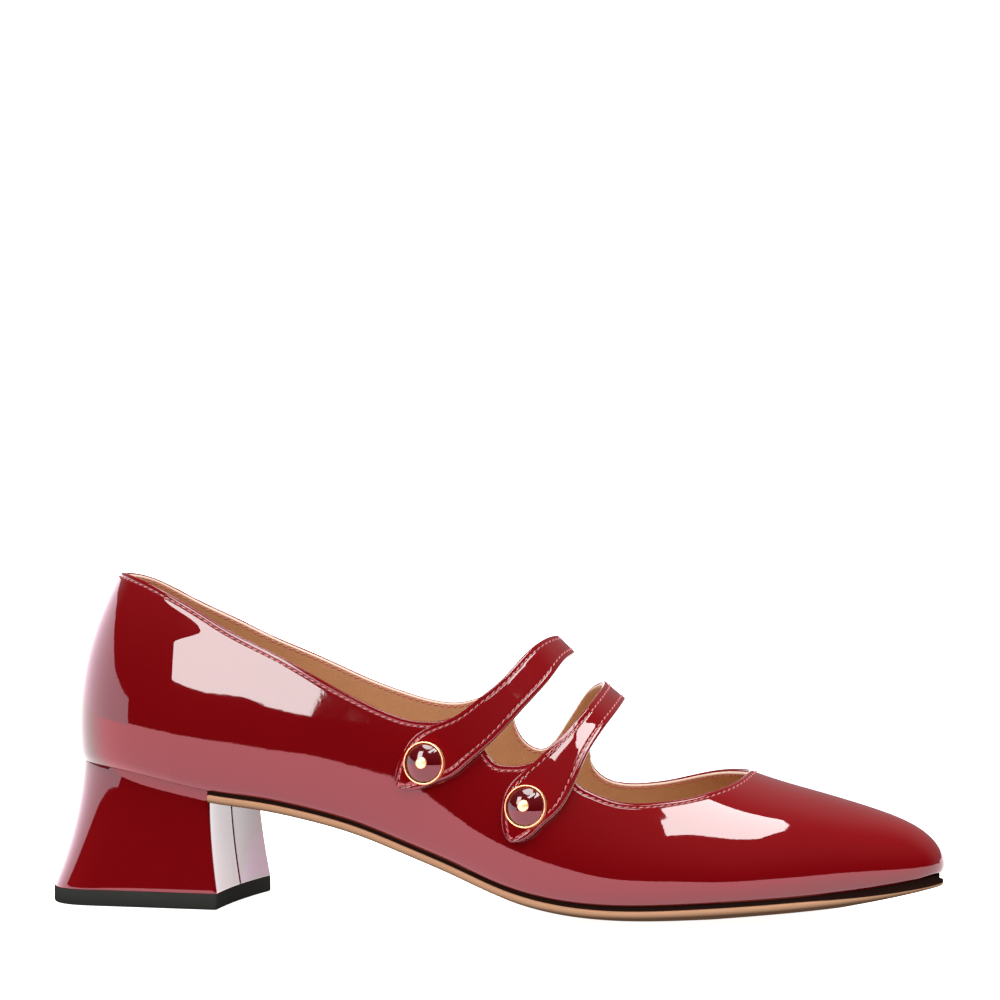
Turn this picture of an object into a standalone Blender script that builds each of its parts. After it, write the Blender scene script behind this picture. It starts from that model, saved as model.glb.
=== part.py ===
"""A right-foot mary jane pump with a covered block heel and two buttoned straps."""
import math

import bmesh
import bpy
import numpy as np
from mathutils import Matrix, Vector

MM = 0.001
WELD = 1e-6
SHARP_ANGLE = 32

# Driving sizes of the last and the upper
LAST_LENGTH = 247.0 * MM
LAST_SETBACK = 19.7 * MM
BALL_WIDTH = 76.0 * MM
HEEL_END_RADIUS = 24.0 * MM
TOE_END_RADIUS = 10.5 * MM
TOE_NOSE_RADIUS = 11.5 * MM
TOE_SWING = 11.0 * MM
SEAT_HEIGHT = 40.6 * MM
INSTEP_HEIGHT = 66.0 * MM
COLLAR_HEIGHT = 54.0 * MM
TOE_SPRING = 6.2 * MM
SIDE_ROLL = 2.2 * MM
SIDE_ROLL_HEIGHT = 5.0 * MM
BACK_LEAN = 13.0 * MM
BACK_BULGE_HEIGHT = 10.0 * MM
TOE_OVERHANG = 1.6 * MM
TOE_OVERHANG_HEIGHT = 2.0 * MM
WALL = 1.8 * MM
GAP = 0.3 * MM

# Sole, insole and heel
SOLE_THICKNESS = 3.1 * MM
SOLE_BAND = 1.0 * MM
SOLE_BAND_INSET = 0.6 * MM
SOLE_PROUD = 0.4 * MM
SOLE_EDGE_TUCK = 1.2 * MM
SOLE_CROWN = 3.0 * MM
INSOLE_THICKNESS = 2.0 * MM
INSOLE_CLEARANCE = 0.4 * MM
HEEL_LENGTH = 55.0 * MM
HEEL_WIDTH = 48.6 * MM
HEEL_BACK_DEPTH = 17.5 * MM
HEEL_TOP_INSET = 0.6 * MM
HEEL_SIDE_TAPER = 2.0 * MM
BREAST_LEAN = 3.0 * MM
BREAST_HOLLOW = 1.2 * MM
TOP_PIECE = 4.5 * MM

# Straps and studs
STRAP_THICKNESS = 1.8 * MM
STRAP_CLEARANCE = 0.4 * MM
STUD_DIAMETER = 11.8 * MM
STUD_RIM = 0.8 * MM
STUD_RIM_HEIGHT = 1.8 * MM
STUD_DOME = 2.6 * MM
STUD_PIP = 3.2 * MM
STUD_PIP_HEIGHT = 0.5 * MM

# Outline of the last: station along its length, reach to the outer and inner side of the
# foot as shares of the ball width
OUTLINE = (
    (0.06, 0.290, 0.290),
    (0.12, 0.3235, 0.320),
    (0.20, 0.3305, 0.325),
    (0.30, 0.331, 0.300),
    (0.40, 0.350, 0.290),
    (0.50, 0.405, 0.335),
    (0.60, 0.470, 0.440),
    (0.68, 0.485, 0.515),
    (0.76, 0.435, 0.520),
    (0.84, 0.322, 0.480),
    (0.91, 0.167, 0.415),
    (0.96, 0.045, 0.325),
)

# Bottom edge of the last: station, share of the seat's rise over the ball, share of the
# toe spring
BOTTOM = (
    (0.00, 1.000, 0.00),
    (0.06, 0.965, 0.00),
    (0.12, 0.885, 0.00),
    (0.18, 0.800, 0.00),
    (0.24, 0.750, 0.00),
    (0.30, 0.675, 0.00),
    (0.36, 0.570, 0.00),
    (0.42, 0.425, 0.00),
    (0.48, 0.275, 0.00),
    (0.54, 0.120, 0.00),
    (0.60, 0.030, 0.00),
    (0.66, 0.000, 0.00),
    (0.74, 0.000, 0.08),
    (0.82, 0.000, 0.25),
    (0.88, 0.000, 0.40),
    (0.94, 0.000, 0.64),
    (1.00, 0.000, 1.00),
)

# Ridge of the last: station, its height over the bottom edge as shares of the collar height
# and of the instep height, and how lean the section is there (1 is an ellipse)
RIDGE = (
    (0.00, 1.30, 0.00, 1.00),
    (0.10, 1.27, 0.00, 1.00),
    (0.20, 1.27, 0.00, 1.00),
    (0.30, 0.90, 0.45, 1.00),
    (0.40, 0.35, 0.90, 1.02),
    (0.48, 0.10, 1.04, 1.06),
    (0.55, 0.00, 1.036, 1.17),
    (0.62, 0.00, 0.835, 1.10),
    (0.70, 0.00, 0.640, 1.05),
    (0.784, 0.00, 0.477, 1.00),
    (0.86, 0.00, 0.374, 0.95),
    (0.93, 0.00, 0.272, 0.90),
)
RIDGE_FALL = 6
BACK_REACH = 0.45
TOE_REACH = 0.25

# How near to the ends and the edges of the last its slope is read, and over which step
POLE_MARGIN = 0.002
EDGE_MARGIN = 0.2
TINY_ALONG = 1e-4
TINY_TURN = 0.01

# Top edge of the upper, in runs between sharp corners. Each row is a rib: where it leaves
# the bottom edge (station, turn) and where it meets the top edge (station, turn)
OUTER_EDGE = (
    (0.000, 0, 0.0000, 48.4),
    (0.030, 0, 0.0300, 49.4),
    (0.100, 0, 0.1000, 47.9),
    (0.160, 0, 0.1600, 45.1),
    (0.220, 0, 0.2200, 38.1),
    (0.280, 0, 0.2800, 30.8),
    (0.340, 0, 0.3350, 26.7),
    (0.390, 0, 0.3850, 25.8),
    (0.430, 0, 0.4300, 27.3),
    (0.455, 0, 0.4620, 30.9),
    (0.475, 0, 0.4860, 34.8),
    (0.492, 0, 0.5020, 35.5),
    (0.507, 0, 0.5140, 31.4),
    (0.524, 0, 0.5260, 30.2),
    (0.542, 0, 0.5420, 31.6),
    (0.560, 0, 0.5600, 34.2),
    (0.576, 0, 0.5780, 38.2),
    (0.591, 0, 0.5960, 40.0),
    (0.605, 0, 0.6090, 38.6),
    (0.620, 0, 0.6200, 37.2),
    (0.645, 0, 0.6400, 36.6),
    (0.700, 0, 0.6650, 36.8),
    (0.770, 0, 0.6900, 38.9),
    (0.850, 0, 0.7150, 42.7),
    (0.930, 0, 0.7380, 47.7),
    (0.985, 0, 0.7570, 54.3),
    (1.000, 12, 0.7720, 61.8),
    (1.000, 48, 0.7815, 70.5),
    (1.000, 90, 0.7845, 90.0),
    (1.000, 132, 0.7800, 101.0),
    (1.000, 168, 0.7670, 111.0),
    (0.985, 180, 0.7460, 120.0),
    (0.930, 180, 0.7200, 129.0),
    (0.850, 180, 0.6920, 137.0),
    (0.770, 180, 0.6650, 143.0),
    (0.700, 180, 0.6380, 147.3),
    (0.650, 180, 0.6140, 149.8),
    (0.615, 180, 0.5950, 150.2),
    (0.592, 180, 0.5820, 148.2),
    (0.580, 180, 0.5790, 143.5),
)
INNER_SCALLOP = (
    (0.555, 180, 0.5460, 143.0),
    (0.544, 180, 0.5330, 148.5),
    (0.530, 180, 0.5180, 151.5),
    (0.515, 180, 0.5050, 151.8),
    (0.503, 180, 0.4960, 150.2),
    (0.488, 180, 0.4920, 145.5),
)
INNER_QUARTER = (
    (0.455, 180, 0.4540, 147.2),
    (0.430, 180, 0.4300, 151.1),
    (0.400, 180, 0.4030, 153.5),
    (0.360, 180, 0.3620, 154.9),
    (0.320, 180, 0.3200, 154.5),
    (0.270, 180, 0.2700, 151.2),
    (0.220, 180, 0.2200, 145.8),
    (0.160, 180, 0.1600, 139.9),
    (0.100, 180, 0.1000, 137.9),
    (0.030, 180, 0.0300, 133.4),
    (0.000, 180, 0.0000, 131.6),
)
OUTER_RIBS = 96
SCALLOP_RIBS = 11
QUARTER_RIBS = 30
UPPER_ROWS = 10

# Each strap from the tip of its tab on the outer side to its root on the inner side:
# rear edge (station, turn), front edge (station, turn)
REAR_STRAP = (
    (0.4112, 11.6, 0.4160, 11.3),
    (0.4125, 14.4, 0.4360, 12.8),
    (0.4180, 18.2, 0.4570, 16.0),
    (0.4290, 22.8, 0.4780, 19.8),
    (0.4480, 27.3, 0.4960, 25.0),
    (0.4750, 32.8, 0.5150, 31.3),
    (0.5030, 41.8, 0.5360, 39.5),
    (0.5240, 50.5, 0.5540, 48.5),
    (0.5410, 62.0, 0.5710, 60.5),
    (0.5560, 78.0, 0.5795, 77.0),
    (0.5600, 93.0, 0.5815, 91.0),
    (0.5435, 109.0, 0.5675, 107.0),
    (0.5185, 123.5, 0.5450, 121.5),
    (0.4840, 138.0, 0.5120, 136.5),
    (0.4540, 147.2, 0.4920, 145.5),
)
FRONT_STRAP = (
    (0.5480, 14.6, 0.5560, 14.0),
    (0.5435, 16.6, 0.5720, 16.6),
    (0.5415, 20.0, 0.5870, 20.8),
    (0.5440, 25.0, 0.6010, 25.0),
    (0.5560, 30.5, 0.6120, 30.0),
    (0.5720, 36.0, 0.6190, 36.0),
    (0.5960, 47.2, 0.6270, 47.0),
    (0.6090, 57.0, 0.6345, 57.0),
    (0.6170, 69.0, 0.6410, 69.0),
    (0.6185, 84.0, 0.6425, 81.5),
    (0.6120, 98.0, 0.6380, 96.0),
    (0.6000, 110.0, 0.6260, 109.0),
    (0.5840, 121.0, 0.6110, 120.5),
    (0.5660, 132.5, 0.5940, 132.5),
    (0.5460, 143.0, 0.5790, 143.5),
)
STRAP_RIBS = 28
STRAP_ACROSS = 5
LAY_FROM = 55
LAY_TO = 120

# Belly of the sole's underside: station, share of the full belly
CROWN = (
    (0.18, 0.20),
    (0.34, 0.35),
    (0.54, 1.12),
    (0.76, 1.12),
    (1.00, 0.45),
)
CROWN_POWER = 2.6
SOLE_END = 0.9995
SOLE_ROWS = 36
SOLE_ACROSS = 8
INSOLE_START = 0.02
INSOLE_END = 0.985
INSOLE_ROWS = 28
INSOLE_ACROSS = (0.0, 0.33, 0.67, 1.0)

# The heel: how its back and breast flare towards the bottom, and how square its back is
BREAST_X = HEEL_LENGTH / 2
BREAST_TOP_X = BREAST_X - BREAST_LEAN
HEEL_FLARE = 1.7
HEEL_ROUND_POWER = 2.4
HEEL_SIDE_POINTS = 14
BREAST_POINTS = 5
HEEL_LEVELS = 7

# Where each stud sits: station, turn
REAR_STUD = (0.4490, 19.6)
FRONT_STUD = (0.5710, 24.4)
STUD_SIDES = 20
DOME_STEPS = 5

# How finely a curve is followed before it is divided evenly
FINE_STEPS = 60
SEARCH_STEPS = 2000


def spline(knots, values):
    """The natural cubic curve through the values at the knots."""
    knots = np.asarray(knots, float)
    values = np.asarray(values, float)
    count = len(knots)
    step = np.diff(knots)
    system = np.eye(count)
    right = np.zeros(values.shape)
    for i in range(1, count - 1):
        system[i, i - 1:i + 2] = step[i - 1], 2 * (step[i - 1] + step[i]), step[i]
        rise = (values[i + 1] - values[i]) / step[i]
        right[i] = 6 * (rise - (values[i] - values[i - 1]) / step[i - 1])
    bend = np.linalg.solve(system, right)

    def curve(at):
        at = np.asarray(at, float)
        i = np.clip(np.searchsorted(knots, at) - 1, 0, count - 2)
        width = step[i]
        left = (knots[i + 1] - at) / width
        near = (at - knots[i]) / width
        if values.ndim > 1:
            width = width[..., None]
            left = left[..., None]
            near = near[..., None]
        line = left * values[i] + near * values[i + 1]
        return line + ((left**3 - left) * bend[i] + (near**3 - near) * bend[i + 1]) * width**2 / 6

    return curve


def column(table, index):
    return np.array([row[index] for row in table])


def travel(station):
    """Shares of the length turned into an even parameter that is dense at both ends."""
    return np.arccos(1 - 2 * np.asarray(station, float)) / math.pi


def station_of(along):
    return (1 - np.cos(math.pi * along)) / 2


OUTLINE_AT = column(OUTLINE, 0)
HALF_WIDTHS = (column(OUTLINE, 1) + column(OUTLINE, 2)) / 2 * BALL_WIDTH
MIDDLES = (column(OUTLINE, 2) - column(OUTLINE, 1)) / 2 * BALL_WIDTH
ROUNDS = HALF_WIDTHS / (2 * np.sqrt(OUTLINE_AT * (1 - OUTLINE_AT)))
HEEL_ROUND = math.sqrt(HEEL_END_RADIUS * LAST_LENGTH / 2)
TOE_ROUND = math.sqrt(TOE_END_RADIUS * LAST_LENGTH / 2)
BALL_EDGE = SOLE_THICKNESS + SOLE_CROWN + GAP
RIDGE_AT = column(RIDGE, 0)
RIDGES = column(RIDGE, 1) * COLLAR_HEIGHT + column(RIDGE, 2) * INSTEP_HEIGHT
NOSE = math.sqrt(2 * TOE_NOSE_RADIUS * LAST_LENGTH / RIDGE_FALL)
FULL_HALF_WIDTH = HEEL_END_RADIUS

round_at = spline(np.r_[0, OUTLINE_AT, 1], np.r_[HEEL_ROUND, ROUNDS, TOE_ROUND])
middle_at = spline(np.r_[0, OUTLINE_AT, 1], np.r_[0, MIDDLES, TOE_SWING])
edge_height = spline(
    column(BOTTOM, 0),
    BALL_EDGE + column(BOTTOM, 1) * (SEAT_HEIGHT - BALL_EDGE) + column(BOTTOM, 2) * TOE_SPRING,
)
ridge_at = spline(np.r_[RIDGE_AT, 1], np.r_[RIDGES / np.sqrt(1 - RIDGE_AT**RIDGE_FALL), NOSE])
lean_at = spline(np.r_[RIDGE_AT, 1], np.r_[column(RIDGE, 3), RIDGE[-1][3]])


def fade(distance, reach):
    return (1 - np.minimum(np.abs(distance) / reach, 1) ** 2) ** 3


def last_point(along, turn):
    """A point of the last: along its length (0 back, 1 toe tip), turned about its section
    from the outer bottom edge (0) over the ridge (90 degrees) to the inner one (180)."""
    station = station_of(along)
    turn = np.radians(turn)
    ridge = ridge_at(station) * np.sqrt(np.maximum(1 - station**RIDGE_FALL, 0))
    height = ridge * (np.abs(np.sin(turn)) + 1e-12) ** lean_at(station)
    half = round_at(station) * np.sin(math.pi * along)
    wide = np.minimum(half / FULL_HALF_WIDTH, 1)
    narrow = SIDE_ROLL * wide * np.exp(-height / SIDE_ROLL_HEIGHT)
    lean = BACK_LEAN / (COLLAR_HEIGHT - BACK_BULGE_HEIGHT) ** 2
    back = fade(along, BACK_REACH) * lean * (height - BACK_BULGE_HEIGHT) ** 2
    over = fade(1 - along, TOE_REACH) * TOE_OVERHANG * np.exp(-height / TOE_OVERHANG_HEIGHT)
    x = -LAST_SETBACK + LAST_LENGTH * station + back - over
    y = middle_at(station) - np.cos(turn) * (half - narrow)
    z = edge_height(station) + height
    return np.stack([x, y, z], -1), height


def shell_point(along, turn, out):
    """The last's point moved outward, and level at the bottom edge."""
    along, turn, out = np.broadcast_arrays(
        np.asarray(along, float), np.asarray(turn, float), np.asarray(out, float)
    )
    point, height = last_point(along, turn)
    near = np.clip(along, POLE_MARGIN, 1 - POLE_MARGIN)
    over = np.clip(turn, EDGE_MARGIN, 180 - EDGE_MARGIN)
    length_way = last_point(near + TINY_ALONG, over)[0] - last_point(near - TINY_ALONG, over)[0]
    round_way = last_point(near, over + TINY_TURN)[0] - last_point(near, over - TINY_TURN)[0]
    normal = np.cross(length_way, round_way)
    normal /= np.linalg.norm(normal, axis=-1, keepdims=True)
    rise = np.clip(height / (SIDE_ROLL_HEIGHT + GAP), 0, 1)
    normal[..., 2] *= rise * rise * (3 - 2 * rise)
    normal /= np.linalg.norm(normal, axis=-1, keepdims=True)
    normal[along == 0, 1] = 0
    normal[along == 1] = (1, 0, 0)
    return point + normal * out[..., None]


def run_of(rows, count):
    """Rows of a table joined by a smooth top edge and read at even steps along it."""
    rows = np.array(rows, float)
    rows[:, ::2] = travel(rows[:, ::2])
    steps = np.hypot(np.diff(rows[:, 2]) * LAST_LENGTH, np.diff(rows[:, 3]) / 90 * BALL_WIDTH)
    way = np.r_[0, np.cumsum(steps)]
    at = np.linspace(0, way[-1], count)
    foot = [np.interp(at, way, rows[:, k]) for k in (0, 1)]
    return np.c_[np.stack(foot, 1), spline(way, rows[:, 2:])(at)]


def upper_ribs():
    """All ribs of the upper in order: outer side, throat, inner side, back seam."""
    return np.vstack([
        run_of(OUTER_EDGE, OUTER_RIBS),
        run_of(INNER_SCALLOP, SCALLOP_RIBS),
        run_of(INNER_QUARTER, QUARTER_RIBS)[:-1],
    ])


def upper_ring(ribs, share, out):
    """A ring round the upper, a share of the way from the bottom edge to the top edge."""
    along = ribs[:, 0] + (ribs[:, 2] - ribs[:, 0]) * share
    turn = ribs[:, 1] + (ribs[:, 3] - ribs[:, 1]) * share
    return shell_point(along, turn, out)


def upper_rings():
    ribs = upper_ribs()
    shares = np.linspace(0, 1, UPPER_ROWS + 1)
    inside = [upper_ring(ribs, share, 0) for share in shares]
    outside = [upper_ring(ribs, share, WALL) for share in shares[::-1]]
    return inside + outside


def strap_offset(turn):
    """The strap lies on the upper at its tab and comes down flush with it at its root."""
    share = np.clip((LAY_TO - turn) / (LAY_TO - LAY_FROM), 0, 1)
    return (WALL + STRAP_CLEARANCE) * share * share * (3 - 2 * share)


def strap_rings(rows):
    """Rings across a strap, from its tip to just short of its root."""
    rows = np.array(rows, float)
    rows[:, ::2] = travel(rows[:, ::2])
    middles = (rows[:, :2] + rows[:, 2:]) / 2
    steps = np.hypot(np.diff(middles[:, 0]) * LAST_LENGTH, np.diff(middles[:, 1]) / 90 * BALL_WIDTH)
    way = np.r_[0, np.cumsum(steps)]
    rings = []
    for row in spline(way, rows)(np.linspace(0, way[-1] - GAP, STRAP_RIBS)):
        across = np.linspace(0, 1, STRAP_ACROSS + 1)
        along = row[0] + (row[2] - row[0]) * across
        turn = row[1] + (row[3] - row[1]) * across
        low = strap_offset(turn)
        over = shell_point(along, turn, low + STRAP_THICKNESS)
        under = shell_point(along, turn, low)
        rings.append(np.vstack([over, under[::-1]]))
    return rings


def edge_point(along, side, out):
    """A point out from the bottom edge of the last, on its outer (-1) or inner (1) side."""
    return shell_point(along, 0.0 if side < 0 else 180.0, out)


def plate_ring(along, steps):
    """A ring across the shoe at one place of its length. Each step of the profile is a
    share across (0 outer side, 1 inner side), a distance outward and a drop."""
    ring = []
    for share, out, drop in steps:
        outer = edge_point(along, -1, out)
        inner = edge_point(along, 1, out)
        point = outer + (inner - outer) * share
        point[2] -= drop
        ring.append(point)
    return ring


def reach_to(x, side, out):
    """How far along the last its bottom edge reaches the place x."""
    alongs = np.linspace(0.0, 1.0, SEARCH_STEPS)
    return float(np.interp(x, edge_point(alongs, side, out)[:, 0], alongs))


def crown(along, share):
    """How far the sole's underside bellies below its edges."""
    station = station_of(along)
    full = np.interp(station, column(CROWN, 0), column(CROWN, 1))
    half = round_at(station) * np.sin(math.pi * along)
    full = full * np.minimum(half / FULL_HALF_WIDTH, 1)
    return SOLE_CROWN * full * (1 - np.abs(2 * share - 1) ** CROWN_POWER)


def sole_rings():
    """Rings of the outsole: a set-back band at the top, a proud edge and a bellied underside
    that is flat where it meets the floor."""
    band = WALL - SOLE_BAND_INSET
    proud = WALL + SOLE_PROUD
    start = max(reach_to(BREAST_TOP_X + GAP * 3 / 2, side, proud) for side in (-1, 1))
    edge = GAP + SOLE_BAND
    low = GAP + SOLE_THICKNESS
    profile = [(band, GAP), (band, edge), (proud, edge), (proud, low - SOLE_EDGE_TUCK / 2)]
    outer = [(0, out, drop) for out, drop in profile]
    inner = [(1, out, drop) for out, drop in profile[::-1]]
    across = np.linspace(0, 1, SOLE_ACROSS + 1)
    rings = []
    for along in np.linspace(start, SOLE_END, SOLE_ROWS):
        under = [(share, proud - SOLE_EDGE_TUCK, low + crown(along, share)) for share in across]
        ring = np.array(plate_ring(along, outer + under + inner))
        ring[:, 2] = np.maximum(ring[:, 2], 0)
        rings.append(ring)
    return rings


def insole_rings():
    """Rings of the insole, which lies inside the upper on the sole and the heel."""
    rings = []
    for along in np.linspace(INSOLE_START, INSOLE_END, INSOLE_ROWS):
        low = [(share, -INSOLE_CLEARANCE, 0) for share in INSOLE_ACROSS]
        high = [(share, -INSOLE_CLEARANCE, -INSOLE_THICKNESS) for share in INSOLE_ACROSS[::-1]]
        rings.append(np.array(plate_ring(along, low + high)))
    return rings


def even_steps(points, count):
    """The same line of points with even steps along it."""
    points = np.asarray(points)
    way = np.r_[0, np.cumsum(np.linalg.norm(np.diff(points, axis=0), axis=1))]
    at = np.linspace(0, way[-1], count)
    return np.stack([np.interp(at, way, points[:, k]) for k in range(points.shape[1])], 1)


def heel_top_side(side):
    """The heel's top edge on one side, from the breast round to the back."""
    start = reach_to(BREAST_TOP_X, side, WALL)
    line = edge_point(np.linspace(start, 0, FINE_STEPS), side, WALL - HEEL_TOP_INSET)
    line[:, 1] *= 1 - 2 * HEEL_SIDE_TAPER / HEEL_WIDTH
    line[:, 2] -= GAP
    return even_steps(line, HEEL_SIDE_POINTS)


def heel_low_side(side):
    """The heel's bottom edge on one side: straight, then half of a full round back."""
    turn = np.linspace(0, math.pi / 2, FINE_STEPS)
    start = -BREAST_X + HEEL_BACK_DEPTH
    x = start - HEEL_BACK_DEPTH * np.sin(turn) ** (2 / HEEL_ROUND_POWER)
    y = side * HEEL_WIDTH / 2 * np.cos(turn) ** (2 / HEEL_ROUND_POWER)
    line = np.stack([np.r_[BREAST_X, x], np.r_[side * HEEL_WIDTH / 2, y]], 1)
    return even_steps(line, HEEL_SIDE_POINTS)


def breast_line(outer, inner):
    """Points across the hollow breast, from the inner corner back to the outer one."""
    shares = np.linspace(0, 1, BREAST_POINTS + 2)[1:-1]
    line = inner + (outer - inner) * shares[:, None]
    line[:, 0] -= BREAST_HOLLOW * 4 * shares * (1 - shares)
    return line


def heel_ring(share, low_z):
    """A ring of the heel, a share of the way down to a level bottom."""
    sides = []
    for side in (-1, 1):
        top = heel_top_side(side)
        low = heel_low_side(side)
        low = np.c_[low, np.full(len(low), low_z)]
        points = top + (low - top) * share
        points[:, 0] += (low - top)[:, 0] * (share**HEEL_FLARE - share)
        sides.append(points)
    outer, inner = sides
    return np.vstack([outer, inner[-2::-1], breast_line(outer[0], inner[0])])


def stud_frame(place):
    """The frame of a stud: its foot on the strap's face and its axis square to it."""
    along = travel(place[0])
    face = WALL + STRAP_CLEARANCE + STRAP_THICKNESS
    foot = shell_point(along, place[1], face)
    axis = Vector(shell_point(along, place[1], face + GAP) - foot).normalized()
    turned = axis.to_track_quat("Z", "Y").to_matrix().to_4x4()
    return Matrix.Translation(Vector(foot) + axis * GAP) @ turned


# Blender objects


def material(name, colour, roughness, metallic=0.0):
    new = bpy.data.materials.new(name)
    new.use_nodes = True
    shader = new.node_tree.nodes["Principled BSDF"]
    shader.inputs["Base Color"].default_value = (*colour, 1)
    shader.inputs["Roughness"].default_value = roughness
    shader.inputs["Metallic"].default_value = metallic
    new.diffuse_color = (*colour, 1)
    return new


def add_object(name, mesh_work, look, frame=None):
    """A new object from finished mesh work, with its material and its place."""
    bmesh.ops.remove_doubles(mesh_work, verts=mesh_work.verts, dist=WELD)
    bmesh.ops.recalc_face_normals(mesh_work, faces=mesh_work.faces)
    mesh = bpy.data.meshes.new(name)
    mesh_work.to_mesh(mesh)
    mesh_work.free()
    mesh.materials.append(look)
    mesh.shade_smooth()
    mesh.set_sharp_from_angle(angle=math.radians(SHARP_ANGLE))
    new = bpy.data.objects.new(name, mesh)
    bpy.context.scene.collection.objects.link(new)
    if frame is not None:
        new.matrix_world = frame
    return new


def skin(rings, closed=False):
    """Faces between rings of equally many points; closed joins the last to the first."""
    work = bmesh.new()
    rows = [[work.verts.new(point) for point in ring] for ring in rings]
    following = rows[1:] + rows[:1] if closed else rows[1:]
    for row, other in zip(rows, following):
        for i in range(len(row)):
            work.faces.new((row[i - 1], row[i], other[i], other[i - 1]))
    return work, rows


def cap_pairs(work, line, other):
    """Closes an end between two facing lines of points."""
    for i in range(len(line) - 1):
        work.faces.new((line[i], line[i + 1], other[i + 1], other[i]))


def make_upper(look):
    work, _ = skin(upper_rings(), closed=True)
    return add_object("upper", work, look)


def make_strap(name, rows, look):
    work, rings = skin(strap_rings(rows))
    for ring in (rings[0], rings[-1]):
        middle = len(ring) // 2
        cap_pairs(work, ring[:middle], ring[:middle - 1:-1])
    return add_object(name, work, look)


def make_sole(look):
    work, rings = skin(sole_rings())
    work.faces.new(rings[0])
    work.faces.new(rings[-1])
    return add_object("outsole", work, look)


def make_insole(look):
    work, rings = skin(insole_rings())
    for ring in (rings[0], rings[-1]):
        middle = len(ring) // 2
        cap_pairs(work, ring[:middle], ring[:middle - 1:-1])
    return add_object("insole", work, look)


def make_heel(look):
    shares = np.linspace(0, 1, HEEL_LEVELS + 1)
    work, rings = skin([heel_ring(share, TOP_PIECE + GAP) for share in shares])
    top = rings[0]
    count = HEEL_SIDE_POINTS
    outer = top[:count]
    inner = top[count - 1:2 * count - 1][::-1]
    breast = top[2 * count - 1:]
    for i in range(count - 2):
        work.faces.new((outer[i], outer[i + 1], inner[i + 1], inner[i]))
    work.faces.new((outer[-2], outer[-1], inner[-2]))
    work.faces.new([inner[0]] + breast + [outer[0]])
    work.faces.new(rings[-1])
    return add_object("heel_block", work, look)


def make_top_piece(look):
    work, rings = skin([heel_ring(1, TOP_PIECE), heel_ring(1, 0)])
    work.faces.new(rings[0])
    work.faces.new(rings[-1])
    return add_object("heel_top_piece", work, look)


def turned_piece(name, profile, place, look):
    """A piece turned about a stud's axis from points (radius, height)."""
    work = bmesh.new()
    points = [work.verts.new((radius, 0, height)) for radius, height in profile]
    edges = [work.edges.new(pair) for pair in zip(points, points[1:])]
    if profile[0][0] > 0:
        edges.append(work.edges.new((points[-1], points[0])))
    bmesh.ops.spin(
        work, geom=points + edges, cent=(0, 0, 0), axis=(0, 0, 1),
        angle=2 * math.pi, steps=STUD_SIDES, use_merge=True,
    )
    return add_object(name, work, look, stud_frame(place))


def make_stud(prefix, place, metal, enamel):
    outer = STUD_DIAMETER / 2
    inner = outer - STUD_RIM
    edge = STUD_RIM_HEIGHT - STUD_RIM / 2
    rim = [(outer, 0), (outer, edge), (outer - STUD_RIM / 2, STUD_RIM_HEIGHT), (inner, edge), (inner, 0)]
    turned_piece(prefix + "_stud_rim", rim, place, metal)
    dome = [(0, 0), (inner - GAP, 0)]
    side = STUD_RIM_HEIGHT - STUD_RIM
    flat = STUD_PIP / 2 + GAP
    for angle in np.linspace(0, math.pi / 2, DOME_STEPS):
        radius = flat + (inner - GAP - flat) * math.cos(angle)
        dome.append((radius, side + (STUD_DOME - side) * math.sin(angle)))
    dome.append((0, STUD_DOME))
    turned_piece(prefix + "_stud_cap", dome, place, enamel)
    low = STUD_DOME + GAP
    pip = [(0, low), (STUD_PIP / 2, low), (STUD_PIP / 2 - STUD_PIP_HEIGHT / 2, low + STUD_PIP_HEIGHT)]
    pip.append((0, low + STUD_PIP_HEIGHT))
    turned_piece(prefix + "_stud_pip", pip, place, metal)


def main():
    for old in list(bpy.data.objects):
        bpy.data.objects.remove(old)
    patent = material("red_patent", (0.26, 0.008, 0.012), 0.08)
    lining = material("tan_lining", (0.45, 0.22, 0.09), 0.6)
    leather = material("sole_leather", (0.46, 0.31, 0.22), 0.55)
    rubber = material("black_rubber", (0.035, 0.033, 0.033), 0.6)
    metal = material("gold_metal", (0.83, 0.60, 0.30), 0.18, 1.0)
    enamel = material("red_enamel", (0.22, 0.006, 0.010), 0.06)
    make_upper(patent)
    make_insole(lining)
    make_sole(leather)
    make_heel(patent)
    make_top_piece(rubber)
    make_strap("rear_strap", REAR_STRAP, patent)
    make_strap("front_strap", FRONT_STRAP, patent)
    make_stud("rear", REAR_STUD, metal, enamel)
    make_stud("front", FRONT_STUD, metal, enamel)


main()
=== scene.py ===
"""Looks of a right-foot mary jane pump in red patent with two buttoned straps."""

import math

import bmesh
import bpy
import numpy as np
from bpy.props import FloatProperty, FloatVectorProperty, PointerProperty
from mathutils import Matrix, Vector


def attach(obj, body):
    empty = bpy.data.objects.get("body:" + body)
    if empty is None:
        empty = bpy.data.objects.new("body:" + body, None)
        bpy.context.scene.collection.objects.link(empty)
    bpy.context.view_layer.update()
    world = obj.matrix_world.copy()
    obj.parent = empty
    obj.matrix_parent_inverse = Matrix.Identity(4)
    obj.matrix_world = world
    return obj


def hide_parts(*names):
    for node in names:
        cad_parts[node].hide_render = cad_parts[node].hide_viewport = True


bl_info = {
    "name": "Mary jane pump",
    "version": (1, 0, 0),
    "blender": (4, 5, 0),
    "location": "View3D > Sidebar > Pump",
    "description": "Dresses a two-strap pump in patent leather, lining, stitches and studio light",
    "category": "Object",
}

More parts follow.
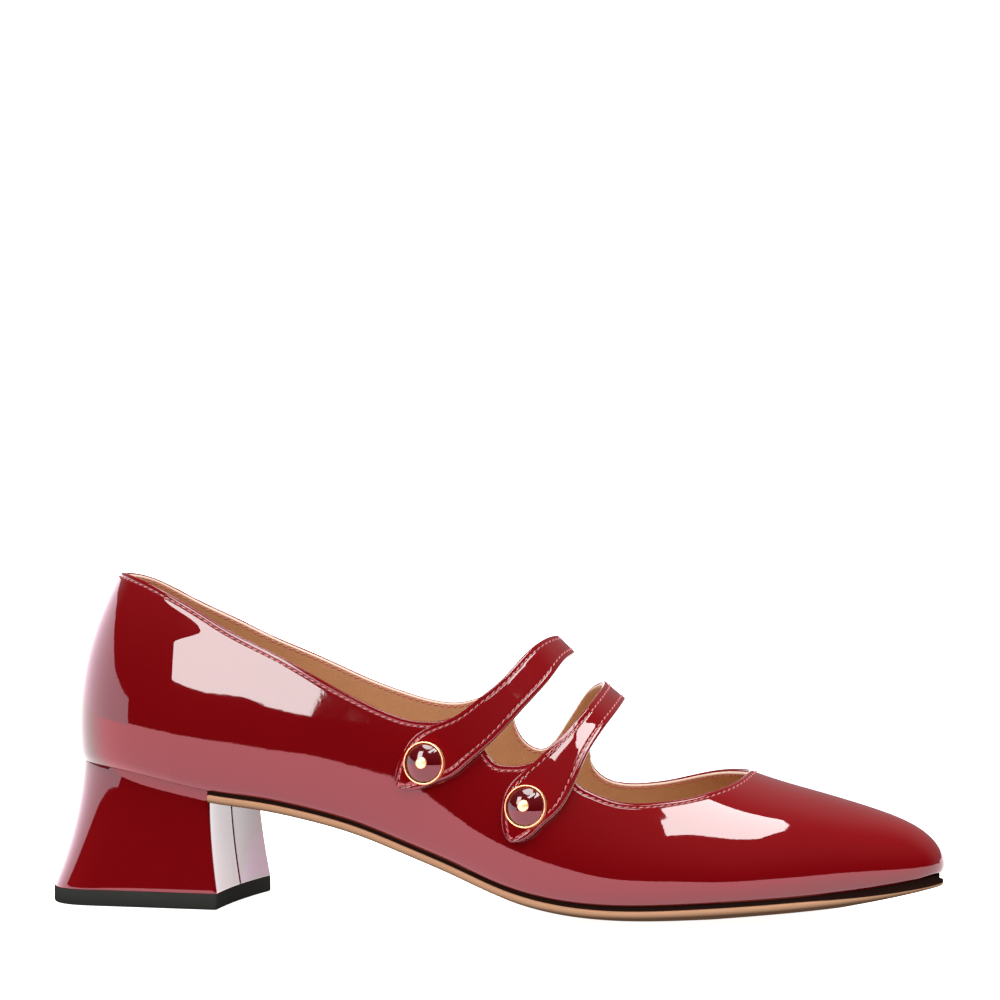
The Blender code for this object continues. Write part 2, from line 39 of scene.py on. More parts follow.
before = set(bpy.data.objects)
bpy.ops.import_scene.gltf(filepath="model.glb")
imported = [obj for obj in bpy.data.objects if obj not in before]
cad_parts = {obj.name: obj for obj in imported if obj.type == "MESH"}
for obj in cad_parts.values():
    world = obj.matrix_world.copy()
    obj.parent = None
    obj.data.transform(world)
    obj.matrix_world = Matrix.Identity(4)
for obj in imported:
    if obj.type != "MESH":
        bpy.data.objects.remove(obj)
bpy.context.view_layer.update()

MM = 0.001
WELD = 2e-6
SHARP_ANGLE = 50

# The last, the upper and the parts under it, as the solids have them
LAST_LENGTH = 247.0 * MM
LAST_SETBACK = 19.7 * MM
BALL_WIDTH = 76.0 * MM
HEEL_END_RADIUS = 24.0 * MM
TOE_END_RADIUS = 10.5 * MM
TOE_NOSE_RADIUS = 11.5 * MM
TOE_SWING = 11.0 * MM
SEAT_HEIGHT = 40.6 * MM
INSTEP_HEIGHT = 66.0 * MM
COLLAR_HEIGHT = 54.0 * MM
TOE_SPRING = 6.2 * MM
SIDE_ROLL = 2.2 * MM
SIDE_ROLL_HEIGHT = 5.0 * MM
BACK_LEAN = 13.0 * MM
BACK_BULGE_HEIGHT = 10.0 * MM
TOE_OVERHANG = 1.6 * MM
TOE_OVERHANG_HEIGHT = 2.0 * MM
WALL = 1.8 * MM
GAP = 0.3 * MM
SOLE_THICKNESS = 3.1 * MM
SOLE_BAND_INSET = 0.6 * MM
SOLE_PROUD = 0.4 * MM
SOLE_EDGE_TUCK = 1.2 * MM
SOLE_CROWN = 3.0 * MM
INSOLE_THICKNESS = 2.0 * MM
INSOLE_CLEARANCE = 0.4 * MM
HEEL_LENGTH = 55.0 * MM
HEEL_WIDTH = 48.6 * MM
HEEL_BACK_DEPTH = 17.5 * MM
HEEL_TOP_INSET = 0.6 * MM
HEEL_SIDE_TAPER = 2.0 * MM
BREAST_LEAN = 3.0 * MM
BREAST_HOLLOW = 1.2 * MM
TOP_PIECE = 4.5 * MM
STRAP_THICKNESS = 1.8 * MM
STRAP_CLEARANCE = 0.4 * MM
STUD_DIAMETER = 11.8 * MM
STUD_LIP = 0.32 * MM
STUD_RIM_HEIGHT = 1.4 * MM
STUD_DOME = 2.8 * MM
STUD_PIP = 3.2 * MM
STUD_PIP_HEIGHT = 0.5 * MM

# Outline of the last: station, reach to the outer and inner side as shares of the ball width
OUTLINE = (
    (0.06, 0.290, 0.290), (0.12, 0.3235, 0.320), (0.20, 0.3305, 0.325), (0.30, 0.331, 0.300),
    (0.40, 0.350, 0.290), (0.50, 0.405, 0.335), (0.60, 0.470, 0.440), (0.68, 0.485, 0.515),
    (0.76, 0.435, 0.520), (0.84, 0.322, 0.480), (0.91, 0.167, 0.415), (0.96, 0.045, 0.325),
)

# Bottom edge: station, share of the seat's rise over the ball, share of the toe spring
BOTTOM = (
    (0.00, 1.000, 0.00), (0.06, 0.965, 0.00), (0.12, 0.885, 0.00), (0.18, 0.800, 0.00),
    (0.24, 0.750, 0.00), (0.30, 0.675, 0.00), (0.36, 0.570, 0.00), (0.42, 0.425, 0.00),
    (0.48, 0.275, 0.00), (0.54, 0.120, 0.00), (0.60, 0.030, 0.00), (0.66, 0.000, 0.00),
    (0.74, 0.000, 0.08), (0.82, 0.000, 0.25), (0.88, 0.000, 0.40), (0.94, 0.000, 0.64),
    (1.00, 0.000, 1.00),
)

# Ridge: station, height as shares of the collar and the instep height, leanness
RIDGE = (
    (0.00, 1.30, 0.00, 1.00), (0.10, 1.27, 0.00, 1.00), (0.20, 1.27, 0.00, 1.00),
    (0.30, 0.90, 0.45, 1.00), (0.40, 0.35, 0.90, 1.02), (0.48, 0.10, 1.04, 1.06),
    (0.55, 0.00, 1.036, 1.17), (0.62, 0.00, 0.835, 1.10), (0.70, 0.00, 0.640, 1.05),
    (0.784, 0.00, 0.477, 1.00), (0.86, 0.00, 0.374, 0.95), (0.93, 0.00, 0.272, 0.90),
)
RIDGE_FALL = 6
BACK_REACH = 0.45
TOE_REACH = 0.25
POLE_MARGIN = 0.002
EDGE_MARGIN = 0.2
TINY_ALONG = 1e-4
TINY_TURN = 0.01

# Top edge in runs between sharp corners: foot (station, turn), top (station, turn)
OUTER_EDGE = (
    (0.000, 0, 0.0000, 48.4), (0.030, 0, 0.0300, 49.4), (0.100, 0, 0.1000, 47.9),
    (0.160, 0, 0.1600, 45.1), (0.220, 0, 0.2200, 38.1), (0.280, 0, 0.2800, 30.8),
    (0.340, 0, 0.3350, 26.7), (0.390, 0, 0.3850, 25.8), (0.430, 0, 0.4300, 27.3),
    (0.455, 0, 0.4620, 30.9), (0.475, 0, 0.4860, 34.8), (0.492, 0, 0.5020, 35.5),
    (0.507, 0, 0.5140, 31.4), (0.524, 0, 0.5260, 30.2), (0.542, 0, 0.5420, 31.6),
    (0.560, 0, 0.5600, 34.2), (0.576, 0, 0.5780, 38.2), (0.591, 0, 0.5960, 40.0),
    (0.605, 0, 0.6090, 38.6), (0.620, 0, 0.6200, 37.2), (0.645, 0, 0.6400, 36.6),
    (0.700, 0, 0.6650, 36.8), (0.770, 0, 0.6900, 38.9), (0.850, 0, 0.7150, 42.7),
    (0.930, 0, 0.7380, 47.7), (0.985, 0, 0.7570, 54.3), (1.000, 12, 0.7720, 61.8),
    (1.000, 48, 0.7815, 70.5), (1.000, 90, 0.7845, 90.0), (1.000, 132, 0.7800, 101.0),
    (1.000, 168, 0.7670, 111.0), (0.985, 180, 0.7460, 120.0), (0.930, 180, 0.7200, 129.0),
    (0.850, 180, 0.6920, 137.0), (0.770, 180, 0.6650, 143.0), (0.700, 180, 0.6380, 147.3),
    (0.650, 180, 0.6140, 149.8), (0.615, 180, 0.5950, 150.2), (0.592, 180, 0.5820, 148.2),
    (0.580, 180, 0.5790, 143.5),
)
INNER_SCALLOP = (
    (0.555, 180, 0.5460, 143.0), (0.544, 180, 0.5330, 148.5), (0.530, 180, 0.5180, 151.5),
    (0.515, 180, 0.5050, 151.8), (0.503, 180, 0.4960, 150.2), (0.488, 180, 0.4920, 145.5),
)
INNER_QUARTER = (
    (0.455, 180, 0.4540, 147.2), (0.430, 180, 0.4300, 151.1), (0.400, 180, 0.4030, 153.5),
    (0.360, 180, 0.3620, 154.9), (0.320, 180, 0.3200, 154.5), (0.270, 180, 0.2700, 151.2),
    (0.220, 180, 0.2200, 145.8), (0.160, 180, 0.1600, 139.9), (0.100, 180, 0.1000, 137.9),
    (0.030, 180, 0.0300, 133.4), (0.000, 180, 0.0000, 131.6),
)
OUTER_RIBS = 400
SCALLOP_RIBS = 44
QUARTER_RIBS = 140
ROOT_RIBS = 12

# The stiff counter in the back part turns its side a little: where it ends at its top, how far
# its edge runs forward down to the knee, and how far back again below that
COUNTER_TILT = 5.0
COUNTER_END = 8.8 * MM
COUNTER_TOP = 89.0 * MM
COUNTER_KNEE = 78.3 * MM
COUNTER_FOOT = 75.2 * MM
COUNTER_SLOPE = 12.9 * MM
COUNTER_NOTCH = 7.6 * MM

# Each strap: rear edge (station, turn), front edge (station, turn), from tip to root
REAR_STRAP = (
    (0.4112, 11.6, 0.4160, 11.3), (0.4125, 14.4, 0.4360, 12.8), (0.4180, 18.2, 0.4570, 16.0),
    (0.4290, 22.8, 0.4780, 19.8), (0.4480, 27.3, 0.4960, 25.0), (0.4750, 32.8, 0.5150, 31.3),
    (0.5030, 41.8, 0.5360, 39.5), (0.5240, 50.5, 0.5540, 48.5), (0.5410, 62.0, 0.5710, 60.5),
    (0.5560, 78.0, 0.5795, 77.0), (0.5600, 93.0, 0.5815, 91.0), (0.5435, 109.0, 0.5675, 107.0),
    (0.5185, 123.5, 0.5450, 121.5), (0.4840, 138.0, 0.5120, 136.5), (0.4540, 147.2, 0.4920, 145.5),
)
FRONT_STRAP = (
    (0.5480, 14.6, 0.5560, 14.0), (0.5435, 16.6, 0.5720, 16.6), (0.5415, 20.0, 0.5870, 20.8),
    (0.5440, 25.0, 0.6010, 25.0), (0.5560, 30.5, 0.6120, 30.0), (0.5720, 36.0, 0.6190, 36.0),
    (0.5960, 47.2, 0.6270, 47.0), (0.6090, 57.0, 0.6345, 57.0), (0.6170, 69.0, 0.6410, 69.0),
    (0.6185, 84.0, 0.6425, 81.5), (0.6120, 98.0, 0.6380, 96.0), (0.6000, 110.0, 0.6260, 109.0),
    (0.5840, 121.0, 0.6110, 120.5), (0.5660, 132.5, 0.5940, 132.5), (0.5460, 143.0, 0.5790, 143.5),
)
STRAP_RINGS = 190
LAY_FROM = 55
LAY_TO = 120
STRAP_REACH = 3.4 * MM
STRAP_SAG = 0.4 * MM
SAG_FROM = 24
SAG_TO = 56
SAG_FADE = 7

# The straps' faces lean towards the toe by some degrees, from a height up
STRAP_LEAN = 5.5
LEAN_END = 140.0 * MM
LEAN_FADE = 6.0 * MM
REAR_LEAN_START = 10.0 * MM
FRONT_LEAN_START = 54.5 * MM

# Belly of the sole's underside: station, share of the full belly
CROWN = ((0.18, 0.20), (0.34, 0.35), (0.54, 1.12), (0.76, 1.12), (1.00, 0.45))
CROWN_POWER = 2.6
UNDERSIDE_MARK = 3.2 * MM
SOLE_END = 0.9995
SOLE_RINGS = 220
SOLE_ACROSS = 24
SOCK_START = 0.02
SOCK_END = 0.985
SOCK_RINGS = 120
SOCK_ACROSS = 18

BREAST_X = HEEL_LENGTH / 2
BREAST_TOP_X = BREAST_X - BREAST_LEAN
HEEL_FLARE = 1.7
HEEL_ROUND_POWER = 2.4
HEEL_SIDE_POINTS = 60
BREAST_POINTS = 41
HEEL_LEVELS = 30
HEEL_CURL = 0.3 * MM
SEAM_DEPTH = 0.45 * MM
SEAM_WIDTH = 0.3 * MM

REAR_STUD = (0.4490, 19.6)
FRONT_STUD = (0.5710, 24.4)
STUD_SIDES = 64
FINE_STEPS = 240
SEARCH_STEPS = 2000


def spline(knots, values):
    """The natural cubic curve through the values at the knots."""
    knots = np.asarray(knots, float)
    values = np.asarray(values, float)
    count = len(knots)
    step = np.diff(knots)
    system = np.eye(count)
    right = np.zeros(values.shape)
    for i in range(1, count - 1):
        system[i, i - 1:i + 2] = step[i - 1], 2 * (step[i - 1] + step[i]), step[i]
        rise = (values[i + 1] - values[i]) / step[i]
        right[i] = 6 * (rise - (values[i] - values[i - 1]) / step[i - 1])
    bend = np.linalg.solve(system, right)

    def curve(at):
        at = np.asarray(at, float)
        i = np.clip(np.searchsorted(knots, at) - 1, 0, count - 2)
        width = step[i]
        left = (knots[i + 1] - at) / width
        near = (at - knots[i]) / width
        if values.ndim > 1:
            width = width[..., None]
            left = left[..., None]
            near = near[..., None]
        line = left * values[i] + near * values[i + 1]
        return line + ((left**3 - left) * bend[i] + (near**3 - near) * bend[i + 1]) * width**2 / 6

    return curve


def column(table, index):
    return np.array([row[index] for row in table])


def travel(station):
    """Shares of the length turned into an even parameter that is dense at both ends."""
    return np.arccos(1 - 2 * np.asarray(station, float)) / math.pi


def station_of(along):
    return (1 - np.cos(math.pi * along)) / 2


OUTLINE_AT = column(OUTLINE, 0)
HALF_WIDTHS = (column(OUTLINE, 1) + column(OUTLINE, 2)) / 2 * BALL_WIDTH
MIDDLES = (column(OUTLINE, 2) - column(OUTLINE, 1)) / 2 * BALL_WIDTH
ROUNDS = HALF_WIDTHS / (2 * np.sqrt(OUTLINE_AT * (1 - OUTLINE_AT)))
HEEL_ROUND = math.sqrt(HEEL_END_RADIUS * LAST_LENGTH / 2)
TOE_ROUND = math.sqrt(TOE_END_RADIUS * LAST_LENGTH / 2)
BALL_EDGE = SOLE_THICKNESS + SOLE_CROWN + GAP
RIDGE_AT = column(RIDGE, 0)
RIDGES = column(RIDGE, 1) * COLLAR_HEIGHT + column(RIDGE, 2) * INSTEP_HEIGHT
NOSE = math.sqrt(2 * TOE_NOSE_RADIUS * LAST_LENGTH / RIDGE_FALL)
FULL_HALF_WIDTH = HEEL_END_RADIUS

round_at = spline(np.r_[0, OUTLINE_AT, 1], np.r_[HEEL_ROUND, ROUNDS, TOE_ROUND])
middle_at = spline(np.r_[0, OUTLINE_AT, 1], np.r_[0, MIDDLES, TOE_SWING])
edge_height = spline(
    column(BOTTOM, 0),
    BALL_EDGE + column(BOTTOM, 1) * (SEAT_HEIGHT - BALL_EDGE) + column(BOTTOM, 2) * TOE_SPRING,
)
ridge_at = spline(np.r_[RIDGE_AT, 1], np.r_[RIDGES / np.sqrt(1 - RIDGE_AT**RIDGE_FALL), NOSE])
lean_at = spline(np.r_[RIDGE_AT, 1], np.r_[column(RIDGE, 3), RIDGE[-1][3]])


def fade(distance, reach):
    return (1 - np.minimum(np.abs(distance) / reach, 1) ** 2) ** 3


def last_point(along, turn):
    """A point of the last: along its length (0 back, 1 toe tip), turned about its section
    from the outer bottom edge (0) over the ridge (90 degrees) to the inner one (180)."""
    station = station_of(along)
    turn = np.radians(turn)
    ridge = ridge_at(station) * np.sqrt(np.maximum(1 - station**RIDGE_FALL, 0))
    height = ridge * (np.abs(np.sin(turn)) + 1e-12) ** lean_at(station)
    half = round_at(station) * np.sin(math.pi * along)
    wide = np.minimum(half / FULL_HALF_WIDTH, 1)
    narrow = SIDE_ROLL * wide * np.exp(-height / SIDE_ROLL_HEIGHT)
    lean = BACK_LEAN / (COLLAR_HEIGHT - BACK_BULGE_HEIGHT) ** 2
    back = fade(along, BACK_REACH) * lean * (height - BACK_BULGE_HEIGHT) ** 2
    over = fade(1 - along, TOE_REACH) * TOE_OVERHANG * np.exp(-height / TOE_OVERHANG_HEIGHT)
    x = -LAST_SETBACK + LAST_LENGTH * station + back - over
    y = middle_at(station) - np.cos(turn) * (half - narrow)
    z = edge_height(station) + height
    return np.stack([x, y, z], -1), height


def shell_point(along, turn, out):
    """The last's point moved outward, and level at the bottom edge."""
    along, turn, out = np.broadcast_arrays(
        np.asarray(along, float), np.asarray(turn, float), np.asarray(out, float)
    )
    point, height = last_point(along, turn)
    near = np.clip(along, POLE_MARGIN, 1 - POLE_MARGIN)
    over = np.clip(turn, EDGE_MARGIN, 180 - EDGE_MARGIN)
    length_way = last_point(near + TINY_ALONG, over)[0] - last_point(near - TINY_ALONG, over)[0]
    round_way = last_point(near, over + TINY_TURN)[0] - last_point(near, over - TINY_TURN)[0]
    normal = np.cross(length_way, round_way)
    normal /= np.linalg.norm(normal, axis=-1, keepdims=True)
    rise = np.clip(height / (SIDE_ROLL_HEIGHT + GAP), 0, 1)
    normal[..., 2] *= rise * rise * (3 - 2 * rise)
    normal /= np.linalg.norm(normal, axis=-1, keepdims=True)
    normal[along == 0, 1] = 0
    normal[along == 1] = (1, 0, 0)
    return point + normal * out[..., None]


def run_of(rows, count):
    """Rows of a table joined by a smooth top edge and read at even steps along it."""
    rows = np.array(rows, float)
    rows[:, ::2] = travel(rows[:, ::2])
    steps = np.hypot(np.diff(rows[:, 2]) * LAST_LENGTH, np.diff(rows[:, 3]) / 90 * BALL_WIDTH)
    way = np.r_[0, np.cumsum(steps)]
    at = np.linspace(0, way[-1], count)
    foot = [np.interp(at, way, rows[:, k]) for k in (0, 1)]
    return np.c_[np.stack(foot, 1), spline(way, rows[:, 2:])(at)]


def upper_ribs():
    """The ribs of the upper in order, and 1 where the top edge is free or 0 at a strap's root."""
    outer = run_of(OUTER_EDGE, OUTER_RIBS)
    scallop = run_of(INNER_SCALLOP, SCALLOP_RIBS)
    quarter = run_of(INNER_QUARTER, QUARTER_RIBS)
    front_root = np.linspace(outer[-1], scallop[0], ROOT_RIBS + 2)[1:-1]
    rear_root = np.linspace(scallop[-1], quarter[0], ROOT_RIBS + 2)[1:-1]
    parts = [outer, front_root, scallop, rear_root, quarter]
    free = np.concatenate([np.full(len(part), 1 - i % 2, float) for i, part in enumerate(parts)])
    return np.vstack(parts), free


def on_ribs(ribs, share, out):
    """Points on the ribs, a share of the way from the bottom edge to the top edge."""
    along = ribs[:, 0] + (ribs[:, 2] - ribs[:, 0]) * share
    turn = ribs[:, 1] + (ribs[:, 3] - ribs[:, 1]) * share
    return shell_point(along, turn, out)


def lengths_along(points):
    """The way along a line of points, from 0 at its start."""
    return np.r_[0, np.cumsum(np.linalg.norm(np.diff(points, axis=0), axis=1))]


def rib_scale(ribs):
    """For each rib, the share of it that one metre square to the top edge takes up."""
    top = on_ribs(ribs, 1.0, WALL)
    low = on_ribs(ribs, 0.97, WALL)
    down = (low - top) / 0.03
    length = np.linalg.norm(down, axis=1)
    way = np.gradient(top, axis=0)
    way /= np.linalg.norm(way, axis=1, keepdims=True)
    across = np.linalg.norm(np.cross(down / length[:, None], way), axis=1)
    across = np.convolve(np.pad(across, 4, mode="edge"), np.full(9, 1 / 9), "valid")
    return 1 / (length * np.clip(across, 0.45, 1))


def strap_offset(turn):
    """The strap lies on the upper at its tab and comes down flush with it at its root."""
    share = np.clip((LAY_TO - turn) / (LAY_TO - LAY_FROM), 0, 1)
    return (WALL + STRAP_CLEARANCE) * share * share * (3 - 2 * share)


def edge_point(along, side, out):
    """A point out from the bottom edge of the last, on its outer (-1) or inner (1) side."""
    return shell_point(along, 0.0 if side < 0 else 180.0, out)


def reach_to(x, side, out):
    """How far along the last its bottom edge reaches the place x."""
    alongs = np.linspace(0.0, 1.0, SEARCH_STEPS)
    return float(np.interp(x, edge_point(alongs, side, out)[:, 0], alongs))


def crown(along, share):
    """How far the sole's underside bellies below its edges."""
    station = station_of(along)
    full = np.interp(station, column(CROWN, 0), column(CROWN, 1))
    half = round_at(station) * np.sin(math.pi * along)
    full = full * np.minimum(half / FULL_HALF_WIDTH, 1)
    return SOLE_CROWN * full * (1 - np.abs(2 * share - 1) ** CROWN_POWER)


def read_line(points, at):
    """Points at the given distances along a line."""
    way = lengths_along(points)
    return np.stack([np.interp(at, way, points[:, k]) for k in range(points.shape[1])], 1)


# Mesh work


def smooth_rise(value):
    value = np.clip(value, 0, 1)
    return value * value * (3 - 2 * value)


def sheet(points, row_looks, marks=None):
    """A grid bent over rows of points, with a look for each strip between two rows and the
    marks as its own map."""
    rows, columns = points.shape[:2]
    work = bmesh.new()
    bmesh.ops.create_grid(work, x_segments=columns - 1, y_segments=rows - 1, size=0.5)
    work.verts.ensure_lookup_table()
    place = {}
    for vert in work.verts:
        i = round((vert.co.x + 0.5) * (columns - 1))
        j = round((vert.co.y + 0.5) * (rows - 1))
        place[vert.index] = (j, i)
    layer = work.loops.layers.uv.new("edge") if marks is not None else None
    for face in work.faces:
        corners = [place[vert.index] for vert in face.verts]
        face.material_index = row_looks[min(j for j, i in corners)]
        if layer is not None:
            for loop in face.loops:
                loop[layer].uv = marks[place[loop.vert.index]]
    for vert in work.verts:
        vert.co = points[place[vert.index]]
    return work


def add_piece(name, work, looks, stands_for=(), sharp=SHARP_ANGLE):
    """A new object from finished mesh work, welded, facing out and riding on the shoe."""
    bmesh.ops.remove_doubles(work, verts=work.verts, dist=WELD)
    bmesh.ops.dissolve_degenerate(work, edges=work.edges, dist=WELD)
    bmesh.ops.recalc_face_normals(work, faces=work.faces)
    mesh = bpy.data.meshes.new(name)
    work.to_mesh(mesh)
    work.free()
    for look in looks:
        mesh.materials.append(look)
    mesh.shade_smooth()
    mesh.set_sharp_from_angle(angle=math.radians(sharp))
    piece = bpy.data.objects.new(name, mesh)
    bpy.context.scene.collection.objects.link(piece)
    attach(piece, "root")
    if stands_for:
        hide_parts(*stands_for)
    return piece


def fill_ends(work):
    """Closes the open ends of a loft."""
    bmesh.ops.remove_doubles(work, verts=work.verts, dist=WELD)
    rim = [edge for edge in work.edges if edge.is_boundary]
    bmesh.ops.holes_fill(work, edges=rim, sides=0)


# Finishes


class Signal:
    """A socket that takes part in sums and products."""

    def __init__(self, look, socket):
        self.look = look
        self.socket = socket

    def _with(self, operation, first, second):
        return self.look.node("ShaderNodeMath", {"operation": operation}, {0: first, 1: second})

    def __add__(self, other):
        return self._with("ADD", self, other)

    def __radd__(self, other):
        return self._with("ADD", other, self)

    def __sub__(self, other):
        return self._with("SUBTRACT", self, other)

    def __rsub__(self, other):
        return self._with("SUBTRACT", other, self)

    def __mul__(self, other):
        return self._with("MULTIPLY", self, other)

    def __rmul__(self, other):
        return self._with("MULTIPLY", other, self)

    def __truediv__(self, other):
        return self._with("DIVIDE", self, other)


class Look:
    """A new material or world and the nodes added to its shader."""

    def __init__(self, name, owner=None):
        self.owner = owner or bpy.data.materials.new(name)
        self.owner.use_nodes = True
        self.tree = self.owner.node_tree

    def node(self, kind, settings=None, sockets=None, output=0):
        new = self.tree.nodes.new(kind)
        for key, value in (settings or {}).items():
            setattr(new, key, value)
        for key, value in (sockets or {}).items():
            self.feed(new.inputs[key], value)
        return Signal(self, new.outputs[output])

    def feed(self, socket, value):
        if isinstance(value, Signal):
            self.tree.links.new(value.socket, socket)
        else:
            socket.default_value = value

    def shader(self, sockets):
        shader = self.tree.nodes["Principled BSDF"]
        for key, value in sockets.items():
            self.feed(shader.inputs[key], value)

    def place(self):
        return self.node("ShaderNodeTexCoord", output="Object")

    def noise(self, scale, detail=2.0, rough=0.5, stretch=None):
        where = self.place()
        if stretch:
            where = self.node("ShaderNodeMapping", {}, {"Vector": where, "Scale": stretch})
        sockets = {"Vector": where, "Scale": scale, "Detail": detail, "Roughness": rough}
        return self.node("ShaderNodeTexNoise", {}, sockets, output="Fac")

    def rise(self, value, low, high, start=0.0, end=1.0):
        """A smooth step of a value from start to end."""
        sockets = {"Value": value, "From Min": low, "From Max": high, "To Min": start, "To Max": end}
        return self.node("ShaderNodeMapRange", {"interpolation_type": "SMOOTHSTEP"}, sockets)

    def blend(self, share, first, second):
        sockets = {0: share, 6: opaque(first), 7: opaque(second)}
        return self.node("ShaderNodeMix", {"data_type": "RGBA"}, sockets, output=2)

    def axis(self, index):
        """One coordinate of the place: 0 towards the toe, 2 up."""
        return self.node("ShaderNodeSeparateXYZ", {}, {0: self.place()}, output=index)

    def mark(self, axis):
        """One coordinate of the piece's own map, in metres."""
        edge = self.node("ShaderNodeUVMap", {"uv_map": "edge"})
        return self.node("ShaderNodeSeparateXYZ", {}, {0: edge}, output=axis)

    def bump(self, height, distance, under=None, strength=1.0):
        sockets = {"Height": height, "Distance": distance, "Strength": strength}
        if under is not None:
            sockets["Normal"] = under
        return self.node("ShaderNodeBump", {}, sockets)


def opaque(colour):
    return colour if isinstance(colour, Signal) else (*colour[:3], 1.0)


def shade(colour, share):
    return tuple(part * share for part in colour[:3])


def patent_normal(look, sizes):
    """The slow waves and the fine orange peel of lacquered leather."""
    waves = look.noise(1 / sizes.wave_length, 0.0)
    normal = look.bump(waves, sizes.wave_height)
    peel = look.noise(1 / sizes.peel_length, 1.0, 0.5)
    return look.bump(peel, sizes.peel_height, normal)


def stitch_holes(look, sizes):
    """1 in the needle holes between the stitches, by the piece's own map."""
    pitch = sizes.stitch_pitch
    turns = look.mark(0) / pitch
    past = look.node("ShaderNodeMath", {"operation": "FRACT"}, {0: turns})
    near = (past - 0.5) * pitch
    off = look.mark(1) - sizes.stitch_inset
    square = near * near + off * off
    return look.rise(square, (0.16 * MM) ** 2, (0.34 * MM) ** 2, 1.0, 0.0)


def lean(look, normal, start):
    """Turns the face a little towards the toe, above the height where that starts."""
    fall = (LEAN_END - look.axis(0)) * look.rise(look.axis(2), start, start + LEAN_FADE)
    return look.bump(fall, math.tan(math.radians(STRAP_LEAN)), normal)


def counter_edge(look, normal):
    """The side turns a little where the stiff counter inside the back part ends."""
    forward = look.axis(0)
    height = look.axis(2)
    slope = look.rise(height, COUNTER_KNEE, COUNTER_TOP, COUNTER_SLOPE, 0.0)
    notch = look.rise(height, COUNTER_FOOT, COUNTER_KNEE, COUNTER_NOTCH, 0.0)
    soft = 0.2 * MM
    behind = look.rise(forward - slope + notch, COUNTER_END - soft, COUNTER_END + soft, 1.0, 0.0)
    turned = look.bump(forward, math.tan(math.radians(COUNTER_TILT)), normal)
    return look.blend(behind, normal, turned)


def patent_look(name, sizes, colours, stitched, lean_start=None):
    """Lacquered leather: with stitches it has needle holes darkened with painted shade, and a strap's
    face leans.
    """
    look = Look(name)
    base = colours.patent
    tone = look.noise(38.0, 3.0)
    red = look.blend(tone, shade(base, 0.93), shade(base, 1.06))
    rough = look.noise(160.0, 2.0) * 0.02 + 0.022
    normal = patent_normal(look, sizes)
    if lean_start is not None:
        normal = lean(look, normal, lean_start)
    elif stitched:
        normal = counter_edge(look, normal)
    if stitched:
        holes = stitch_holes(look, sizes)
        # Painted shade: the needle holes are darkened to 0.12 of the red, as shade falls in them; they
        # are also made rougher and pressed in.
        red = look.blend(holes, red, shade(base, 0.12))
        rough = rough + holes * 0.5
        normal = look.bump(holes, -0.12 * MM, normal)
    look.shader({"Base Color": red, "Roughness": rough, "IOR": 1.5, "Normal": normal})
    return look.owner


def leather_look(name, colour, grain, rough, pale=1.08, gloss=0.3):
    """Smooth lining leather with a fine grain."""
    look = Look(name)
    tone = look.noise(grain * 0.08, 4.0, 0.6)
    brown = look.blend(tone, shade(colour, 2 - pale), shade(colour, pale))
    pores = look.node("ShaderNodeTexVoronoi", {"feature": "SMOOTH_F1"},
                      {"Vector": look.place(), "Scale": grain, "Smoothness": 0.6}, output="Distance")
    normal = look.bump(pores, 0.05 * MM)
    normal = look.bump(look.noise(grain * 2.2, 3.0), 0.02 * MM, normal)
    look.shader({"Base Color": brown, "Roughness": look.noise(grain, 2.0) * 0.12 + rough,
                 "Specular IOR Level": gloss, "Normal": normal})
    return look.owner


def sole_edge_look(name, colours):
    """The sole's trimmed edge: beige fibres, painted shade on its lower part where it rolls under, and a
    dark band of painted shadow under the upper, standing for the gap between upper and sole.
    """
    look = Look(name)
    fibres = look.noise(500.0, 4.0, 0.6, (0.25, 0.25, 4.0))
    beige = look.blend(fibres, shade(colours.sole_edge, 0.82), shade(colours.sole_edge, 1.1))
    # Painted shade: the lower part of the edge, where it rolls under, is blended towards a darker beige.
    low = look.rise(look.mark(1), 2.0 * MM, 3.3 * MM)
    beige = look.blend(low * 0.35, beige, shade(colours.sole_edge, 0.55))
    # Painted shadow: a black-brown band along the top of the edge stands in for the shadow in the gap
    # under the upper, wider towards the toe.
    forward = look.rise(look.mark(0), 0.10, 0.16)
    tip = look.rise(look.mark(0), 0.19, 0.226)
    low_end = look.mark(1) - forward * (0.2 * MM) - tip * (1.0 * MM)
    band = look.rise(low_end, 1.15 * MM, 1.35 * MM, 1.0, 0.0)
    colour = look.blend(band, beige, colours.gap_shadow)
    look.shader({"Base Color": colour, "Roughness": fibres * 0.2 + 0.5, "Specular IOR Level": 0.0,
                 "Normal": look.bump(fibres, 0.06 * MM)})
    return look.owner


def rubber_look(name, colours):
    look = Look(name)
    grain = look.noise(2600.0, 2.0)
    dark = look.blend(look.noise(120.0, 3.0), shade(colours.rubber, 0.85), shade(colours.rubber, 1.2))
    look.shader({"Base Color": dark, "Roughness": grain * 0.2 + 0.5, "Specular IOR Level": 0.0,
                 "Normal": look.bump(grain, 0.03 * MM)})
    return look.owner


def metal_look(name, colours):
    look = Look(name)
    brushed = look.noise(900.0, 2.0)
    gold = look.blend(look.noise(300.0, 2.0), shade(colours.gold, 0.92), shade(colours.gold, 1.05))
    look.shader({"Base Color": gold, "Metallic": 1.0, "Roughness": brushed * 0.1 + 0.4,
                 "Normal": look.bump(brushed, 0.004 * MM)})
    return look.owner


def enamel_look(name, colours):
    look = Look(name)
    depth = look.blend(look.noise(260.0, 2.0), shade(colours.enamel, 0.85), shade(colours.enamel, 1.15))
    rough = look.noise(400.0, 2.0) * 0.02 + 0.02
    normal = look.bump(look.noise(700.0, 1.0), 0.004 * MM)
    look.shader({"Base Color": depth, "Roughness": rough, "IOR": 1.52, "Normal": normal})
    return look.owner


